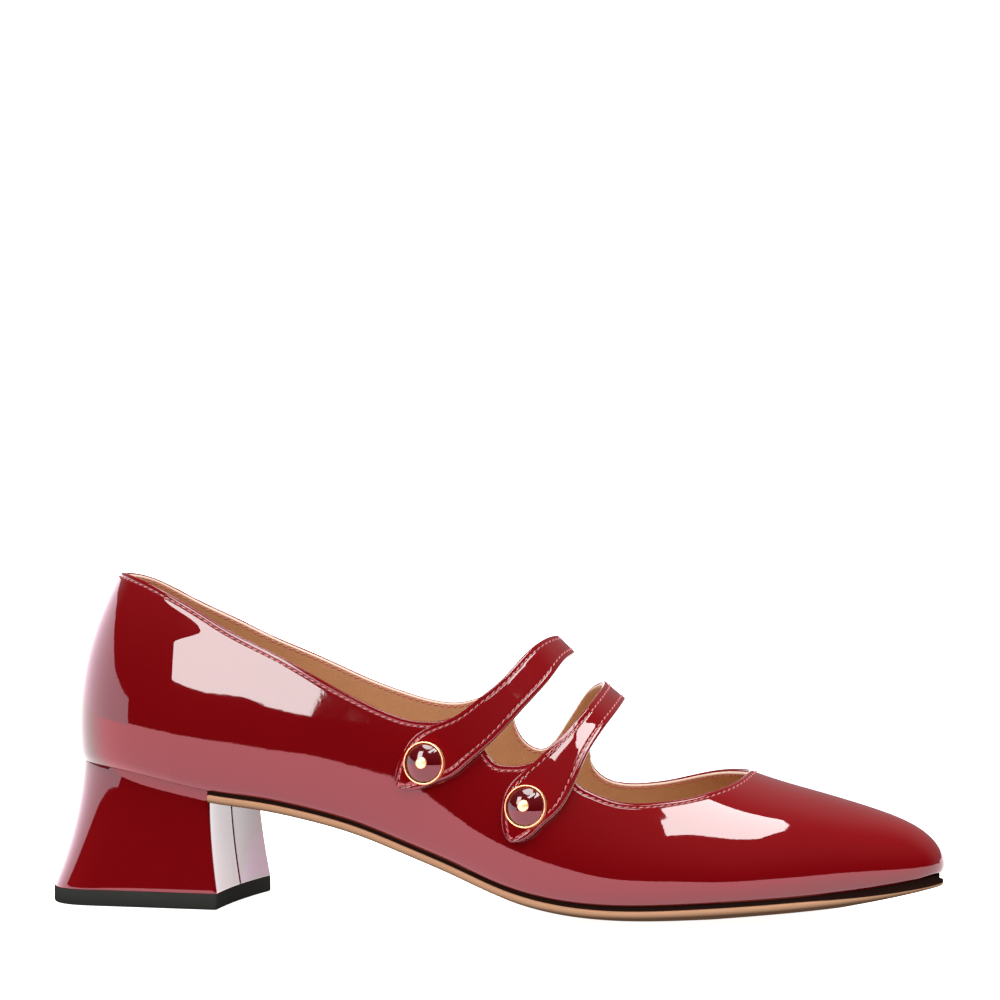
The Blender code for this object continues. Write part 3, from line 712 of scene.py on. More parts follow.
def thread_look(name, colours):
    look = Look(name)
    strands = look.noise(3800.0, 2.0)
    red = look.blend(strands, shade(colours.thread, 0.6), shade(colours.thread, 1.4))
    normal = look.bump(strands, 0.04 * MM)
    look.shader({"Base Color": red, "Roughness": strands * 0.2 + 0.32, "Normal": normal})
    return look.owner


# The sizes and colours that can be changed


def length_value(name, description, default, low, high):
    """A length that can be changed; its numbers are millimetres."""
    return FloatProperty(
        name=name, description=description, default=default * MM, min=low * MM, max=high * MM,
        unit="LENGTH", precision=5,
    )


def colour_value(name, description, default):
    return FloatVectorProperty(
        name=name, description=description, default=default, subtype="COLOR", min=0, max=1,
    )


class PumpSizes(bpy.types.PropertyGroup):
    edge_roll: length_value("Edge roll", "Radius of the patent's turned edge", 0.5, 0.2, 0.8)
    stitch_inset: length_value("Stitch inset", "Distance of the stitch row from the edge", 1.55, 1.0, 3.0)
    lining_inset: length_value(
        "Lining inset", "Distance of the lining's stitch row from the edge", 0.95, 0.6, 3.0
    )
    stitch_pitch: length_value("Stitch pitch", "Distance from one stitch to the next", 1.95, 1.2, 4.0)
    thread_width: length_value("Thread width", "Thickness of the sewing thread", 0.42, 0.2, 0.8)
    stitch_channel: length_value(
        "Stitch channel", "How deep the thread pulls the leather in", 0.12, 0.0, 0.4
    )
    wave_length: length_value("Wave length", "Width of the slow waves in the patent", 26.0, 5, 60)
    wave_height: length_value("Wave height", "Height of the slow waves in the patent", 0.5, 0.0, 3)
    peel_length: length_value("Peel length", "Width of the fine orange peel in the lacquer", 1.3, 0.3, 5)
    peel_height: length_value(
        "Peel height", "Height of the fine orange peel in the lacquer", 0.003, 0.0, 0.2
    )
    heel_corner: length_value(
        "Heel corner", "Reach of the rounding at the heel's breast corners", 1.1, 0.3, 2.0
    )


class PumpColours(bpy.types.PropertyGroup):
    patent: colour_value("Patent", "Red of the lacquered leather", (0.205, 0.002, 0.004))
    lining: colour_value("Lining", "Tan of the lining and the sock", (0.54, 0.285, 0.135))
    lining_edge: colour_value("Lining edge", "Pale cut edge of the lining", (0.82, 0.60, 0.48))
    thread: colour_value("Thread", "Red of the sewing thread", (0.60, 0.15, 0.15))
    sole_edge: colour_value("Sole edge", "Beige of the sole's edge and underside", (0.63, 0.345, 0.205))
    # Painted shadow: the colour of the band that stands in for the shadow in the gap between upper and
    # sole.
    gap_shadow: colour_value(
        "Sole band", "Black-brown dressing between upper and sole", (0.018, 0.008, 0.006)
    )
    rubber: colour_value("Rubber", "Dark grey of the heel's top piece", (0.036, 0.036, 0.033))
    gold: colour_value("Gold", "Metal of the studs", (0.86, 0.62, 0.32))
    enamel: colour_value("Enamel", "Red of the studs' domes", (0.10, 0.002, 0.004))


class PumpStudio(bpy.types.PropertyGroup):
    azimuth: FloatProperty(
        name="Azimuth", description="Camera's turn from the shoe's outer side towards its toe",
        default=math.radians(15.5), subtype="ANGLE",
    )
    elevation: FloatProperty(
        name="Elevation", description="Camera's height as an angle over the floor",
        default=math.radians(5.1), subtype="ANGLE",
    )
    distance: FloatProperty(
        name="Distance", description="From the camera to the middle of the shoe",
        default=1.2, min=0.5, unit="LENGTH",
    )
    lens: FloatProperty(
        name="Lens", description="Focal length in millimetres", default=152.5, min=35,
    )
    floor_glow: FloatProperty(
        name="Floor glow", description="Brightness of the floor in reflections", default=2.5, min=0,
    )
    box_glow: FloatProperty(
        name="Softbox glow", description="Brightness of the softboxes", default=15.5, min=0,
    )


def settings():
    scene = bpy.context.scene
    return scene.pump_sizes, scene.pump_colours, scene.pump_studio


_looks = {}


def look_of(name):
    """The finish of that name, made when it is first asked for."""
    if name not in _looks:
        sizes, colours, _ = settings()
        makers = {
            "patent_stitched": lambda: patent_look("patent_stitched", sizes, colours, True),
            "rear_strap": lambda: patent_look("rear_strap", sizes, colours, True, REAR_LEAN_START),
            "front_strap": lambda: patent_look("front_strap", sizes, colours, True, FRONT_LEAN_START),
            "patent": lambda: patent_look("patent", sizes, colours, False),
            "lining": lambda: leather_look("lining", colours.lining, 2200.0, 0.46),
            "lining_edge": lambda: leather_look("lining_edge", colours.lining_edge, 3000.0, 0.5),
            "sole_edge": lambda: sole_edge_look("sole_edge", colours),
            "sole_face": lambda: leather_look("sole_face", colours.sole_edge, 900.0, 0.5, 1.15, 0.0),
            "rubber": lambda: rubber_look("rubber", colours),
            "gold": lambda: metal_look("gold", colours),
            "enamel": lambda: enamel_look("enamel", colours),
            "thread": lambda: thread_look("thread", colours),
        }
        _looks[name] = makers[name]()
    return _looks[name]


# The upper


def edge_section(sizes):
    """The section over a free top edge, from the outside to the lining: distance below the
    edge, distance out from the lining's face, and which layer each step starts (0 patent,
    1 the lining's cut edge, 2 lining)."""
    roll = sizes.edge_roll
    inset = sizes.stitch_inset
    section = []
    for down in (6.0, 4.4, 3.3, 2.7, 2.3, 2.05, 1.85, 1.7, 1.55, 1.4, 1.25, 1.05, 0.8):
        down *= MM
        dip = sizes.stitch_channel * math.exp(-(((down - inset) / (0.26 * MM)) ** 2))
        bead = 0.07 * MM * math.exp(-(((down - 0.85 * MM) / (0.4 * MM)) ** 2))
        section.append((down, WALL - dip + bead, 0))
    for angle in np.linspace(0, math.pi / 2, 6):
        section.append((roll * (1 - math.sin(angle)), WALL - roll + roll * math.cos(angle), 0))
    section += [
        (0.05 * MM, 1.08 * MM, 0), (0.22 * MM, 0.93 * MM, 0), (0.48 * MM, 0.88 * MM, 1),
        (0.24 * MM, 0.80 * MM, 1), (0.10 * MM, 0.62 * MM, 1), (0.08 * MM, 0.40 * MM, 1),
        (0.18 * MM, 0.15 * MM, 1), (0.40 * MM, 0.0, 2), (0.75 * MM, 0.0, 2),
        (0.95 * MM, 0.06 * MM, 2), (1.15 * MM, 0.0, 2), (2.6 * MM, 0.0, 2), (6.0 * MM, 0.0, 2),
    ]
    return section


def upper_sheet(sizes):
    ribs, free = upper_ribs()
    scale = rib_scale(ribs)
    seam = on_ribs(ribs, 1 - sizes.stitch_inset * scale, WALL)
    marks_along = lengths_along(seam)
    open_edge = np.minimum(np.convolve(np.pad(free, 1, mode="edge"), np.full(3, 1 / 3), "valid"), 1)
    reach = 6.0 * MM
    rows = []
    marks = []
    layers = []

    def add_row(share, out, down, layer):
        rows.append(on_ribs(ribs, share, out))
        marks.append(np.stack([marks_along, np.broadcast_to(down, marks_along.shape)], 1))
        layers.append(layer)

    foot_rows = np.array([0.0, 0.012, 0.03, 0.055, 0.09, 0.13])
    body = np.concatenate([foot_rows, np.linspace(0.18, 1, 26)])[:-1]
    add_row(0.0, 0.0, 60 * MM, 2)
    add_row(0.0, WALL - 0.5 * MM, 60 * MM, 0)
    for part in body:
        share = part * (1 - reach * scale)
        tuck = 0.35 * MM * (1 - smooth_rise(part / 0.05)) ** 2
        add_row(share, WALL - tuck, (1 - part) * 40 * MM + reach, 0)
    for down, out, layer in edge_section(sizes):
        flat = min(max(out, 0), WALL)
        fall = down * open_edge if down < 0.55 * MM else np.full(len(ribs), down)
        add_row(1 - fall * scale, flat + (out - flat) * open_edge, down, layer)
    for part in body[::-1]:
        add_row(part * (1 - reach * scale), 0.0, (1 - part) * 40 * MM + reach, 2)
    return sheet(np.stack(rows), layers, np.stack(marks))


class PUMP_OT_upper(bpy.types.Operator):
    """Makes the lasted upper with its turned edge, its cut lining edge and its lining"""
    bl_idname = "pump.upper"
    bl_label = "Upper"

    def execute(self, context):
        sizes, _, _ = settings()
        looks = [look_of(name) for name in ("patent_stitched", "lining_edge", "lining")]
        add_piece("upper_patent", upper_sheet(sizes), looks, ("upper",))
        return {"FINISHED"}


# The straps


def strap_lines(rows, rings):
    """The rear and front edge of a strap as (along, turn), from its tip to its root."""
    rows = np.array(rows, float)
    rows[:, ::2] = travel(rows[:, ::2])
    middles = (rows[:, :2] + rows[:, 2:]) / 2
    steps = np.hypot(np.diff(middles[:, 0]) * LAST_LENGTH, np.diff(middles[:, 1]) / 90 * BALL_WIDTH)
    way = np.r_[0, np.cumsum(steps)]
    near = np.linspace(0, 1, 13)[:-1] ** 1.6 * 2.5 * MM
    at = np.r_[near, np.linspace(2.5 * MM, way[-1], rings - 12)]
    return spline(way, rows)(at), at


def strap_section(sizes):
    """Half a strap's section from the middle of its top face round its edge to the middle of
    its underside: distance in from the edge, height, layer."""
    roll = sizes.edge_roll
    thick = STRAP_THICKNESS
    half = []
    for inset in (STRAP_REACH / MM, 2.7, 2.2, 1.95, 1.75, 1.55, 1.35, 1.15, 0.95, 0.75):
        inset *= MM
        dip = sizes.stitch_channel * math.exp(-(((inset - sizes.stitch_inset) / (0.26 * MM)) ** 2))
        bead = 0.05 * MM * math.exp(-(((inset - 0.85 * MM) / (0.35 * MM)) ** 2))
        half.append((inset, thick - dip + bead, 0))
    for angle in np.linspace(0, math.pi / 2, 6):
        half.append((roll * (1 - math.sin(angle)), thick - roll + roll * math.cos(angle), 0))
    half += [
        (0.0, 0.95 * MM, 0), (0.05 * MM, 0.80 * MM, 0), (0.26 * MM, 0.72 * MM, 1),
        (0.10 * MM, 0.62 * MM, 1), (0.04 * MM, 0.42 * MM, 1), (0.12 * MM, 0.15 * MM, 1),
        (0.40 * MM, 0.0, 2), (1.4 * MM, 0.0, 2), (STRAP_REACH, 0.0, 2),
    ]
    return half


def strap_place(lines, across, height):
    """Points of a strap: a share across each ring and a height over its underside."""
    along = lines[:, 0] + (lines[:, 2] - lines[:, 0]) * across
    turn = lines[:, 1] + (lines[:, 3] - lines[:, 1]) * across
    return shell_point(along, turn, strap_offset(turn) + height)


def strap_width(lines):
    """The strap's width at each ring, and how much further a row runs across the strap than
    square to its edge, at both edges."""
    edges = [strap_place(lines, across, STRAP_THICKNESS) for across in (0.0, 1.0)]
    chord = edges[1] - edges[0]
    width = np.linalg.norm(chord, axis=1)
    chord /= np.maximum(width, WELD)[:, None]
    slants = []
    for edge in edges:
        way = np.gradient(edge, axis=0)
        way /= np.linalg.norm(way, axis=1, keepdims=True)
        sine = np.linalg.norm(np.cross(way, chord), axis=1)
        slants.append(1 / np.clip(sine, 0.5, 1))
    return width, slants


def strap_sheet(rows, sizes, sag):
    """A strap with its turned edge all round; its rear half can sag above the stud."""
    lines, at = strap_lines(rows, STRAP_RINGS)
    tip = np.sqrt(np.clip(1 - (1 - np.clip(at / (1.1 * MM), 0, 1)) ** 2, 0, 1))
    middle = (lines[:, :2] + lines[:, 2:]) / 2
    spread = (lines[:, 2:] - lines[:, :2]) / 2 * tip[:, None]
    lines = np.c_[middle - spread, middle + spread]
    width, slants = strap_width(lines)
    width = np.maximum(width, 1e-6)
    sag = sag / STRAP_THICKNESS * smooth_rise((SAG_TO - lines[:, 1]) / SAG_FADE)
    sag = sag * smooth_rise((lines[:, 1] - SAG_FROM) / SAG_FADE)
    roll = sizes.edge_roll
    fall = roll - np.sqrt(np.clip(roll**2 - np.clip(roll - at, 0, roll) ** 2, 0, None))
    middle_top = strap_place(lines, 0.5, STRAP_THICKNESS - fall)
    plain = np.stack([lengths_along(middle_top), np.full(len(at), 5 * MM)], 1)
    half = strap_section(sizes)
    points = [middle_top]
    marks = [plain]
    layers = [0]

    def add_row(inset, height, layer, side):
        square = inset * slants[side] if inset > 0.6 * MM else inset
        share = np.minimum(square / width, 0.5 * inset / STRAP_REACH)
        top = np.minimum(height, STRAP_THICKNESS - fall)
        if side == 0:
            top = top * (1 - sag * (1 - 2 * share) ** 2)
        points.append(strap_place(lines, abs(side - share), top))
        edge = strap_place(lines, float(side), STRAP_THICKNESS)
        marks.append(np.stack([lengths_along(edge) + side * 0.5, np.full(len(at), inset)], 1))
        layers.append(layer)

    for inset, height, layer in half:
        add_row(inset, height, layer, 0)
    points.append(strap_place(lines, 0.5, 0.0))
    marks.append(plain)
    layers.append(2)
    back = half[::-1]
    following = [layer for _, _, layer in back[1:]] + [0]
    for (inset, height, _), layer in zip(back, following):
        add_row(inset, height, layer, 1)
    points.append(middle_top)
    marks.append(plain)
    layers.append(0)
    work = sheet(np.stack(points), layers, np.stack(marks))
    fill_ends(work)
    return work


class PUMP_OT_straps(bpy.types.Operator):
    """Makes the two straps with their leaf-shaped tabs"""
    bl_idname = "pump.straps"
    bl_label = "Straps"

    def execute(self, context):
        sizes, _, _ = settings()
        straps = (("rear_strap", REAR_STRAP, 0.0), ("front_strap", FRONT_STRAP, STRAP_SAG))
        for name, rows, sag in straps:
            looks = [look_of(look) for look in (name, "lining_edge", "lining")]
            add_piece(name + "_patent", strap_sheet(rows, sizes, sag), looks, (name,))
        return {"FINISHED"}


# The stitches


def sew(work, line, over, sizes):
    """Adds stitches along a line of points on a face; over is the same line a little above it."""
    total = lengths_along(line)[-1]
    pitch = sizes.stitch_pitch
    count = int(total / pitch)
    centres = np.arange(count) * pitch
    step = 0.3 * MM
    places = read_line(line, centres)
    ways = read_line(line, centres + step) - read_line(line, centres - step)
    ups = read_line(over, centres * lengths_along(over)[-1] / total) - places
    slant = Matrix.Rotation(math.radians(12), 3, "Z")
    shape = Matrix.Diagonal((pitch * 0.40, sizes.thread_width / 2, sizes.thread_width / 2))
    for place, way, up in zip(places, ways, ups):
        length_way = Vector(way).normalized()
        up_way = Vector(up).normalized()
        side = up_way.cross(length_way).normalized()
        up_way = length_way.cross(side).normalized()
        turned = Matrix((length_way, side, up_way)).transposed() @ slant @ shape
        seat = Matrix.Translation(Vector(place) + up_way * sizes.thread_width * 0.12)
        bmesh.ops.create_uvsphere(
            work, u_segments=8, v_segments=6, radius=1, matrix=seat @ turned.to_4x4(),
        )


def free_runs(free):
    """The spans of ribs between the straps' roots."""
    spans = []
    start = None
    for i, value in enumerate(np.r_[free, 0]):
        if value and start is None:
            start = i
        elif not value and start is not None:
            spans.append((start, i))
            start = None
    return spans


def sew_topline(sizes, inside):
    ribs, free = upper_ribs()
    scale = rib_scale(ribs)
    share = 1 - (sizes.lining_inset if inside else sizes.stitch_inset) * scale
    face = -0.04 * MM if inside else WALL - sizes.stitch_channel
    line = on_ribs(ribs, share, face)
    over = on_ribs(ribs, share, face + (-GAP if inside else GAP))
    work = bmesh.new()
    for start, end in free_runs(free):
        sew(work, line[start:end], over[start:end], sizes)
    return work


def sew_strap(rows, sizes):
    lines, _ = strap_lines(rows, STRAP_RINGS)
    width, slants = strap_width(lines)
    height = STRAP_THICKNESS - sizes.stitch_channel
    work = bmesh.new()
    for side in (0, 1):
        share = sizes.stitch_inset * slants[side] / width
        keep = share < 0.5
        share = np.minimum(share, 0.5)
        across = share if side == 0 else 1 - share
        line = strap_place(lines, across, height)[keep]
        over = strap_place(lines, across, height + GAP)[keep]
        sew(work, line, over, sizes)
    return work


class PUMP_OT_stitches(bpy.types.Operator):
    """Sews the rows of stitches along the top edge and round the straps"""
    bl_idname = "pump.stitches"
    bl_label = "Stitches"

    def execute(self, context):
        sizes, _, _ = settings()
        thread = [look_of("thread")]
        for name, work in (
            ("topline", sew_topline(sizes, False)), ("lining", sew_topline(sizes, True)),
            ("rear_strap", sew_strap(REAR_STRAP, sizes)),
            ("front_strap", sew_strap(FRONT_STRAP, sizes)),
        ):
            add_piece(name + "_stitches", work, thread, sharp=80)
        return {"FINISHED"}


# The studs


def stud_frame(place):
    """The frame of a stud: its foot on the strap's face and its axis square to it."""
    along = travel(place[0])
    face = WALL + STRAP_CLEARANCE + STRAP_THICKNESS
    foot = shell_point(along, place[1], face)
    axis = Vector(shell_point(along, place[1], face + GAP) - foot).normalized()
    turned = axis.to_track_quat("Z", "Y").to_matrix().to_4x4()
    return Matrix.Translation(Vector(foot) + axis * GAP) @ turned


def turned_work(profile, place):
    """Mesh work turned about a stud's axis from points (radius, height)."""
    work = bmesh.new()
    points = [work.verts.new((radius, 0, height)) for radius, height in profile]
    edges = [work.edges.new(pair) for pair in zip(points, points[1:])]
    if profile[0][0] > 0:
        edges.append(work.edges.new((points[-1], points[0])))
    bmesh.ops.spin(
        work, geom=points + edges, cent=(0, 0, 0), axis=(0, 0, 1),
        angle=2 * math.pi, steps=STUD_SIDES, use_merge=True,
    )
    bmesh.ops.transform(work, matrix=stud_frame(place), verts=work.verts)
    return work


def rim_profile():
    """The stud's metal rim: an upright band with a round lip."""
    outer = STUD_DIAMETER / 2
    lip = STUD_LIP / 2
    centre = STUD_RIM_HEIGHT - lip
    profile = [(outer, 0)]
    for angle in np.linspace(0, math.pi, 13):
        profile.append((outer - lip + lip * math.cos(angle), centre + lip * math.sin(angle)))
    return profile + [(outer - STUD_LIP, 0)]


def cap_profile():
    """The stud's enamel dome, round from its edge to its middle."""
    radius = STUD_DIAMETER / 2 - STUD_LIP - 0.02 * MM
    side = STUD_RIM_HEIGHT - 2 * STUD_LIP
    steep = 2 * math.atan((STUD_DOME - side) / radius)
    ball = radius / math.sin(steep)
    profile = [(0, 0), (radius, 0)]
    for angle in np.linspace(steep, 0, 22):
        profile.append((ball * math.sin(angle), STUD_DOME - ball * (1 - math.cos(angle))))
    return profile


def pip_profile():
    """The small round pip on the dome."""
    radius = STUD_PIP / 2
    low = STUD_DOME - 0.25 * MM
    high = STUD_DOME + GAP + STUD_PIP_HEIGHT
    profile = [(0, low), (radius, low)]
    side = low + 0.3 * MM
    for angle in np.linspace(0, math.pi / 2, 12):
        profile.append((radius * math.cos(angle), side + (high - side) * math.sin(angle)))
    return profile


class PUMP_OT_studs(bpy.types.Operator):
    """Turns the two studs: a metal rim, an enamel dome and a small pip"""
    bl_idname = "pump.studs"
    bl_label = "Studs"

    def execute(self, context):
        for prefix, place in (("rear", REAR_STUD), ("front", FRONT_STUD)):
            for name, node, profile, look, slot in (
                ("_rim", "_stud_rim", rim_profile(), "gold", "gold_metal"),
                ("_dome", "_stud_cap", cap_profile(), "enamel", "red_enamel"),
                ("_pip", "_stud_pip", pip_profile(), "gold", "gold_metal"),
            ):
                work = turned_work(profile, place)
                add_piece(prefix + name, work, [look_of(look)], (prefix + node,), 60)
        return {"FINISHED"}


# The sole and the sock


def plate_row(alongs, share, out, drop):
    """A row along the shoe: a share across it (0 outer side, 1 inner side), out and down."""
    outer = edge_point(alongs, -1, out)
    row = outer + (edge_point(alongs, 1, out) - outer) * share
    row[:, 2] -= drop
    return row


def outsole_sheet():
    band = WALL - SOLE_BAND_INSET
    proud = WALL + SOLE_PROUD
    start = max(reach_to(BREAST_TOP_X + GAP * 3 / 2, side, proud) for side in (-1, 1))
    alongs = start + (SOLE_END - start) * np.linspace(0, 1, SOLE_RINGS)
    station = station_of(alongs)
    step_down = (1.05 + 0.25 * smooth_rise((station - 0.45) / 0.25)) * MM + GAP
    low = GAP + SOLE_THICKNESS
    tuck = SOLE_EDGE_TUCK
    side_steps = [
        (band - 1.2 * MM, 0.02 * MM, 0), (band, 0.05 * MM, 0),
        (band, step_down - 0.12 * MM, 0), (band + 0.12 * MM, step_down, 0),
        (proud - 0.25 * MM, step_down, 0), (proud - 0.07 * MM, step_down + 0.07 * MM, 0),
        (proud, step_down + 0.25 * MM, 0), (proud + 0.04 * MM, (step_down + low) / 2, 0),
        (proud, low - tuck * 0.62, 0), (proud - tuck * 0.10, low - tuck * 0.36, 0),
        (proud - tuck * 0.32, low - tuck * 0.13, 0), (proud - tuck * 0.62, low - tuck * 0.02, 1),
    ]
    rows = []
    marks = []
    layers = []

    def add_row(share, out, drop, layer, depth=None):
        row = plate_row(alongs, share, out, drop)
        row[:, 2] = np.maximum(row[:, 2], 0)
        rows.append(row)
        depth = np.broadcast_to(drop if depth is None else depth, alongs.shape)
        marks.append(np.stack([row[:, 0], depth], 1))
        layers.append(layer)

    for out, drop, layer in side_steps:
        add_row(0, out, drop, layer)
    for share in np.linspace(0, 1, SOLE_ACROSS + 1):
        add_row(share, proud - tuck, low + crown(alongs, share), 1, UNDERSIDE_MARK)
    for out, drop, _ in side_steps[::-1]:
        add_row(1, out, drop, 0)
    rows.append(rows[0])
    marks.append(marks[0])
    layers.append(0)
    work = sheet(np.stack(rows), layers, np.stack(marks))
    fill_ends(work)
    return work


def sock_sheet():
    alongs = np.linspace(SOCK_START, SOCK_END, SOCK_RINGS)
    near = 0.5 * MM
    low = -INSOLE_CLEARANCE
    high = -INSOLE_THICKNESS
    section = [(0, low, 0.0), (0, low, high + near), (0, low - near * 0.3, high + near * 0.3)]
    top = [(share, low - near, high) for share in np.linspace(0, 1, SOCK_ACROSS + 1)]
    back = [(1, out, drop) for _, out, drop in section[::-1]]
    under = [(share, low, 0.0) for share in np.linspace(1, 0, 3)[1:]]
    rows = [plate_row(alongs, *step) for step in section + top + back + under]
    work = sheet(np.stack(rows), [0] * len(rows))
    fill_ends(work)
    return work


class PUMP_OT_outsole(bpy.types.Operator):
    """Makes the leather sole with its beige edge and its band of painted shadow under the upper"""
    bl_idname = "pump.outsole"
    bl_label = "Outsole"

    def execute(self, context):
        looks = [look_of("sole_edge"), look_of("sole_face")]
        add_piece("leather_sole", outsole_sheet(), looks, ("outsole",))
        return {"FINISHED"}


class PUMP_OT_sock(bpy.types.Operator):
    """Makes the bare tan sock that lies in the shoe"""
    bl_idname = "pump.sock"
    bl_label = "Sock"

    def execute(self, context):
        add_piece("tan_sock", sock_sheet(), [look_of("lining")], ("insole",))
        return {"FINISHED"}


# The heel


def corner_steps(length, count):
    """Distances from a corner: close together near it, even further on."""
    near = np.array([0, 0.1, 0.22, 0.36, 0.52, 0.7, 0.9, 1.1, 1.5, 2.1]) * MM
    return np.r_[near, np.linspace(2.9 * MM, length, count - len(near))]


def heel_sides(share, low_z):
    """Both sides of the heel from its breast to its back, a share of the way down."""
    lines = []
    for side in (-1, 1):
        start = reach_to(BREAST_TOP_X, side, WALL)
        top = edge_point(np.linspace(start, 0, FINE_STEPS), side, WALL - HEEL_TOP_INSET)
        top[:, 1] *= 1 - 2 * HEEL_SIDE_TAPER / HEEL_WIDTH
        top[:, 2] -= GAP
        top = read_line(top, corner_steps(lengths_along(top)[-1], HEEL_SIDE_POINTS))
        turn = np.linspace(0, math.pi / 2, FINE_STEPS)
        straight = np.linspace(BREAST_X, -BREAST_X + HEEL_BACK_DEPTH, 20)[:-1]
        x = -BREAST_X + HEEL_BACK_DEPTH - HEEL_BACK_DEPTH * np.sin(turn) ** (2 / HEEL_ROUND_POWER)
        y = side * HEEL_WIDTH / 2 * np.cos(turn) ** (2 / HEEL_ROUND_POWER)
        low = np.stack([np.r_[straight, x], np.r_[np.full(19, side * HEEL_WIDTH / 2), y]], 1)
        low = read_line(low, corner_steps(lengths_along(low)[-1], HEEL_SIDE_POINTS))
        low = np.c_[low, np.full(len(low), low_z)]
        points = top + (low - top) * share
        points[:, 0] += (low - top)[:, 0] * (share**HEEL_FLARE - share)
        points[:, 1] += side * HEEL_CURL * max(1 - share / 0.14, 0) ** 2 * points[:, 1] / points[0, 1]
        lines.append(points)
    return lines


def round_off(corner, side_line, breast_side, reach):
    """Moves the points near a breast corner onto a round."""
    side_way = side_line[9] - corner
    side_way /= np.linalg.norm(side_way)
    breast_way = breast_side[9] - corner
    breast_way /= np.linalg.norm(breast_way)
    for line, first, second in ((side_line, side_way, breast_way), (breast_side, breast_way, side_way)):
        for point in line:
            away = np.linalg.norm(point - corner)
            if away < reach:
                part = (1 - away / reach) / 2
                point += corner - point + first * reach * (1 - part) ** 2 + second * reach * part**2


def heel_row(share, low_z, sizes, inward=0.0, seam=True):
    """A closed row round the heel, from the middle of the breast and back to it."""
    outer, inner = heel_sides(share, low_z)
    corner_outer = outer[0].copy()
    corner_inner = inner[0].copy()
    wide = np.linalg.norm(corner_inner - corner_outer)
    at = corner_steps(wide / 2, BREAST_POINTS)
    at = np.r_[at[:-7], wide / 2 - np.array([1.2, 0.75, 0.5, 0.32, 0.18, 0.08, 0.0]) * MM]
    halves = []
    for corner, other in ((corner_outer, corner_inner), (corner_inner, corner_outer)):
        shares = at / wide
        line = corner + (other - corner) * shares[:, None]
        line[:, 0] -= BREAST_HOLLOW * 4 * shares * (1 - shares)
        if seam:
            from_middle = (0.5 - shares) * wide
            line[:, 0] -= SEAM_DEPTH * np.exp(-((from_middle / SEAM_WIDTH) ** 2))
        halves.append(line)
    round_off(corner_outer, outer, halves[0], sizes.heel_corner)
    round_off(corner_inner, inner, halves[1], sizes.heel_corner)
    row = np.vstack([halves[0][::-1], outer[1:], inner[-2::-1], halves[1][1:]])
    row[:, :2] *= 1 - inward / np.linalg.norm(row[:, :2], axis=1, keepdims=True)
    return row


def heel_sheet(sizes):
    low_z = TOP_PIECE + 0.04 * MM
    levels = np.linspace(0, 1, HEEL_LEVELS + 1)
    rows = [heel_row(0.0, low_z, sizes, 1.6 * MM), heel_row(0.0, low_z, sizes, 0.35 * MM)]
    rows[0][:, 2] += 0.2 * MM
    rows[1][:, 2] += 0.12 * MM
    rows += [heel_row(share, low_z, sizes) for share in levels[:-1] + 0.004 * (levels[:-1] == 0)]
    rows += [heel_row(0.985, low_z, sizes), heel_row(0.994, low_z, sizes, 0.05 * MM)]
    rows += [heel_row(1.0, low_z, sizes, 0.22 * MM)]
    work = sheet(np.stack(rows), [0] * len(rows))
    fill_ends(work)
    return work


def top_piece_sheet(sizes):
    """The rubber top piece: the heel's outline with a soft upper and lower edge."""
    rows = []
    for height, inward in ((TOP_PIECE, 0.5), (TOP_PIECE, 0.16), (TOP_PIECE - 0.16 * MM, 0.0),
                           (0.45 * MM, 0.0), (0.2 * MM, 0.08), (0.05 * MM, 0.25), (0.0, 0.55)):
        rows.append(heel_row(1.0, height, sizes, inward * MM, False))
    work = sheet(np.stack(rows), [0] * len(rows))
    fill_ends(work)
    return work


class PUMP_OT_heel(bpy.types.Operator):
    """Makes the block heel in its patent cover, with the seam in its breast"""
    bl_idname = "pump.heel"
    bl_label = "Heel"

    def execute(self, context):
        sizes, _, _ = settings()
        add_piece("covered_heel", heel_sheet(sizes), [look_of("patent")], ("heel_block",))
        rubber = [look_of("rubber")]
        add_piece("rubber_top_piece", top_piece_sheet(sizes), rubber, ("heel_top_piece",))
        return {"FINISHED"}


# The stage


# The camera: its sensor in millimetres, and the picture's side and the row of the shoe's middle
SENSOR = 36
PICTURE_SIDE = 1000
SHOE_ROW = 767
SHOE_MIDDLE = Vector((0.1031, 0.0019, 0.040))
LIGHT_REACH = 4.0
FLOOR_TINT = (2.4, 1.0, 1.13)
FAR_TINT = (1.15, 1.1, 1.12)
BACK_TINT = (1.15, 1.0, 1.15)

# Lights in reflections: lower and upper row of corners (azimuth, elevation)
QUARTER_SOFTBOX = (
    ((-30.5, 12.3), (-24, 10.6), (-20, 9.3), (-15.5, 6.0), (-8.0, 2.6)),
    ((-36.5, 46), (-31, 48), (-24, 48), (-14, 48), (-2, 47)),
)
QUARTER = Vector((0.032, -0.033, 0.070))
QUARTER_REACH = 0.13
STRAP_STRIP = (
    ((-3, 41), (3, 46), (12, 51.5), (20, 55.5), (30, 60)),
    ((-16, 44), (-8, 52), (0, 58), (10, 63), (25, 68)),
)
STRAP = Vector((0.120, -0.030, 0.075))
STRAP_DISTANCE = 0.35
OVERHEAD_BAR = (
    ((20, 45), (32, 51), (45, 54.5), (58, 56.5), (70, 60), (85, 62), (100, 64.5), (114, 66.5)),
    ((25, 55), (32, 59), (38, 65), (50, 72), (70, 76), (85, 77), (100, 76), (116, 74)),
)
BACK_CARD = (
    ((-48, -1), (-70, -1), (-95, -1), (-106, -1), (-128, -1), (-150, -1), (-198, -1), (-226, -1)),
    ((-48, 7), (-70, 11), (-95, 16), (-106, 16), (-128, 12), (-150, 8), (-198, 5), (-226, 4)),
)
TOP_CARD = (
    ((-80, 60), (-50, 58), (-20, 57), (0, 61), (12, 67)),
    ((-80, 86), (-50, 86), (-20, 86), (0, 86), (12, 86)),
)


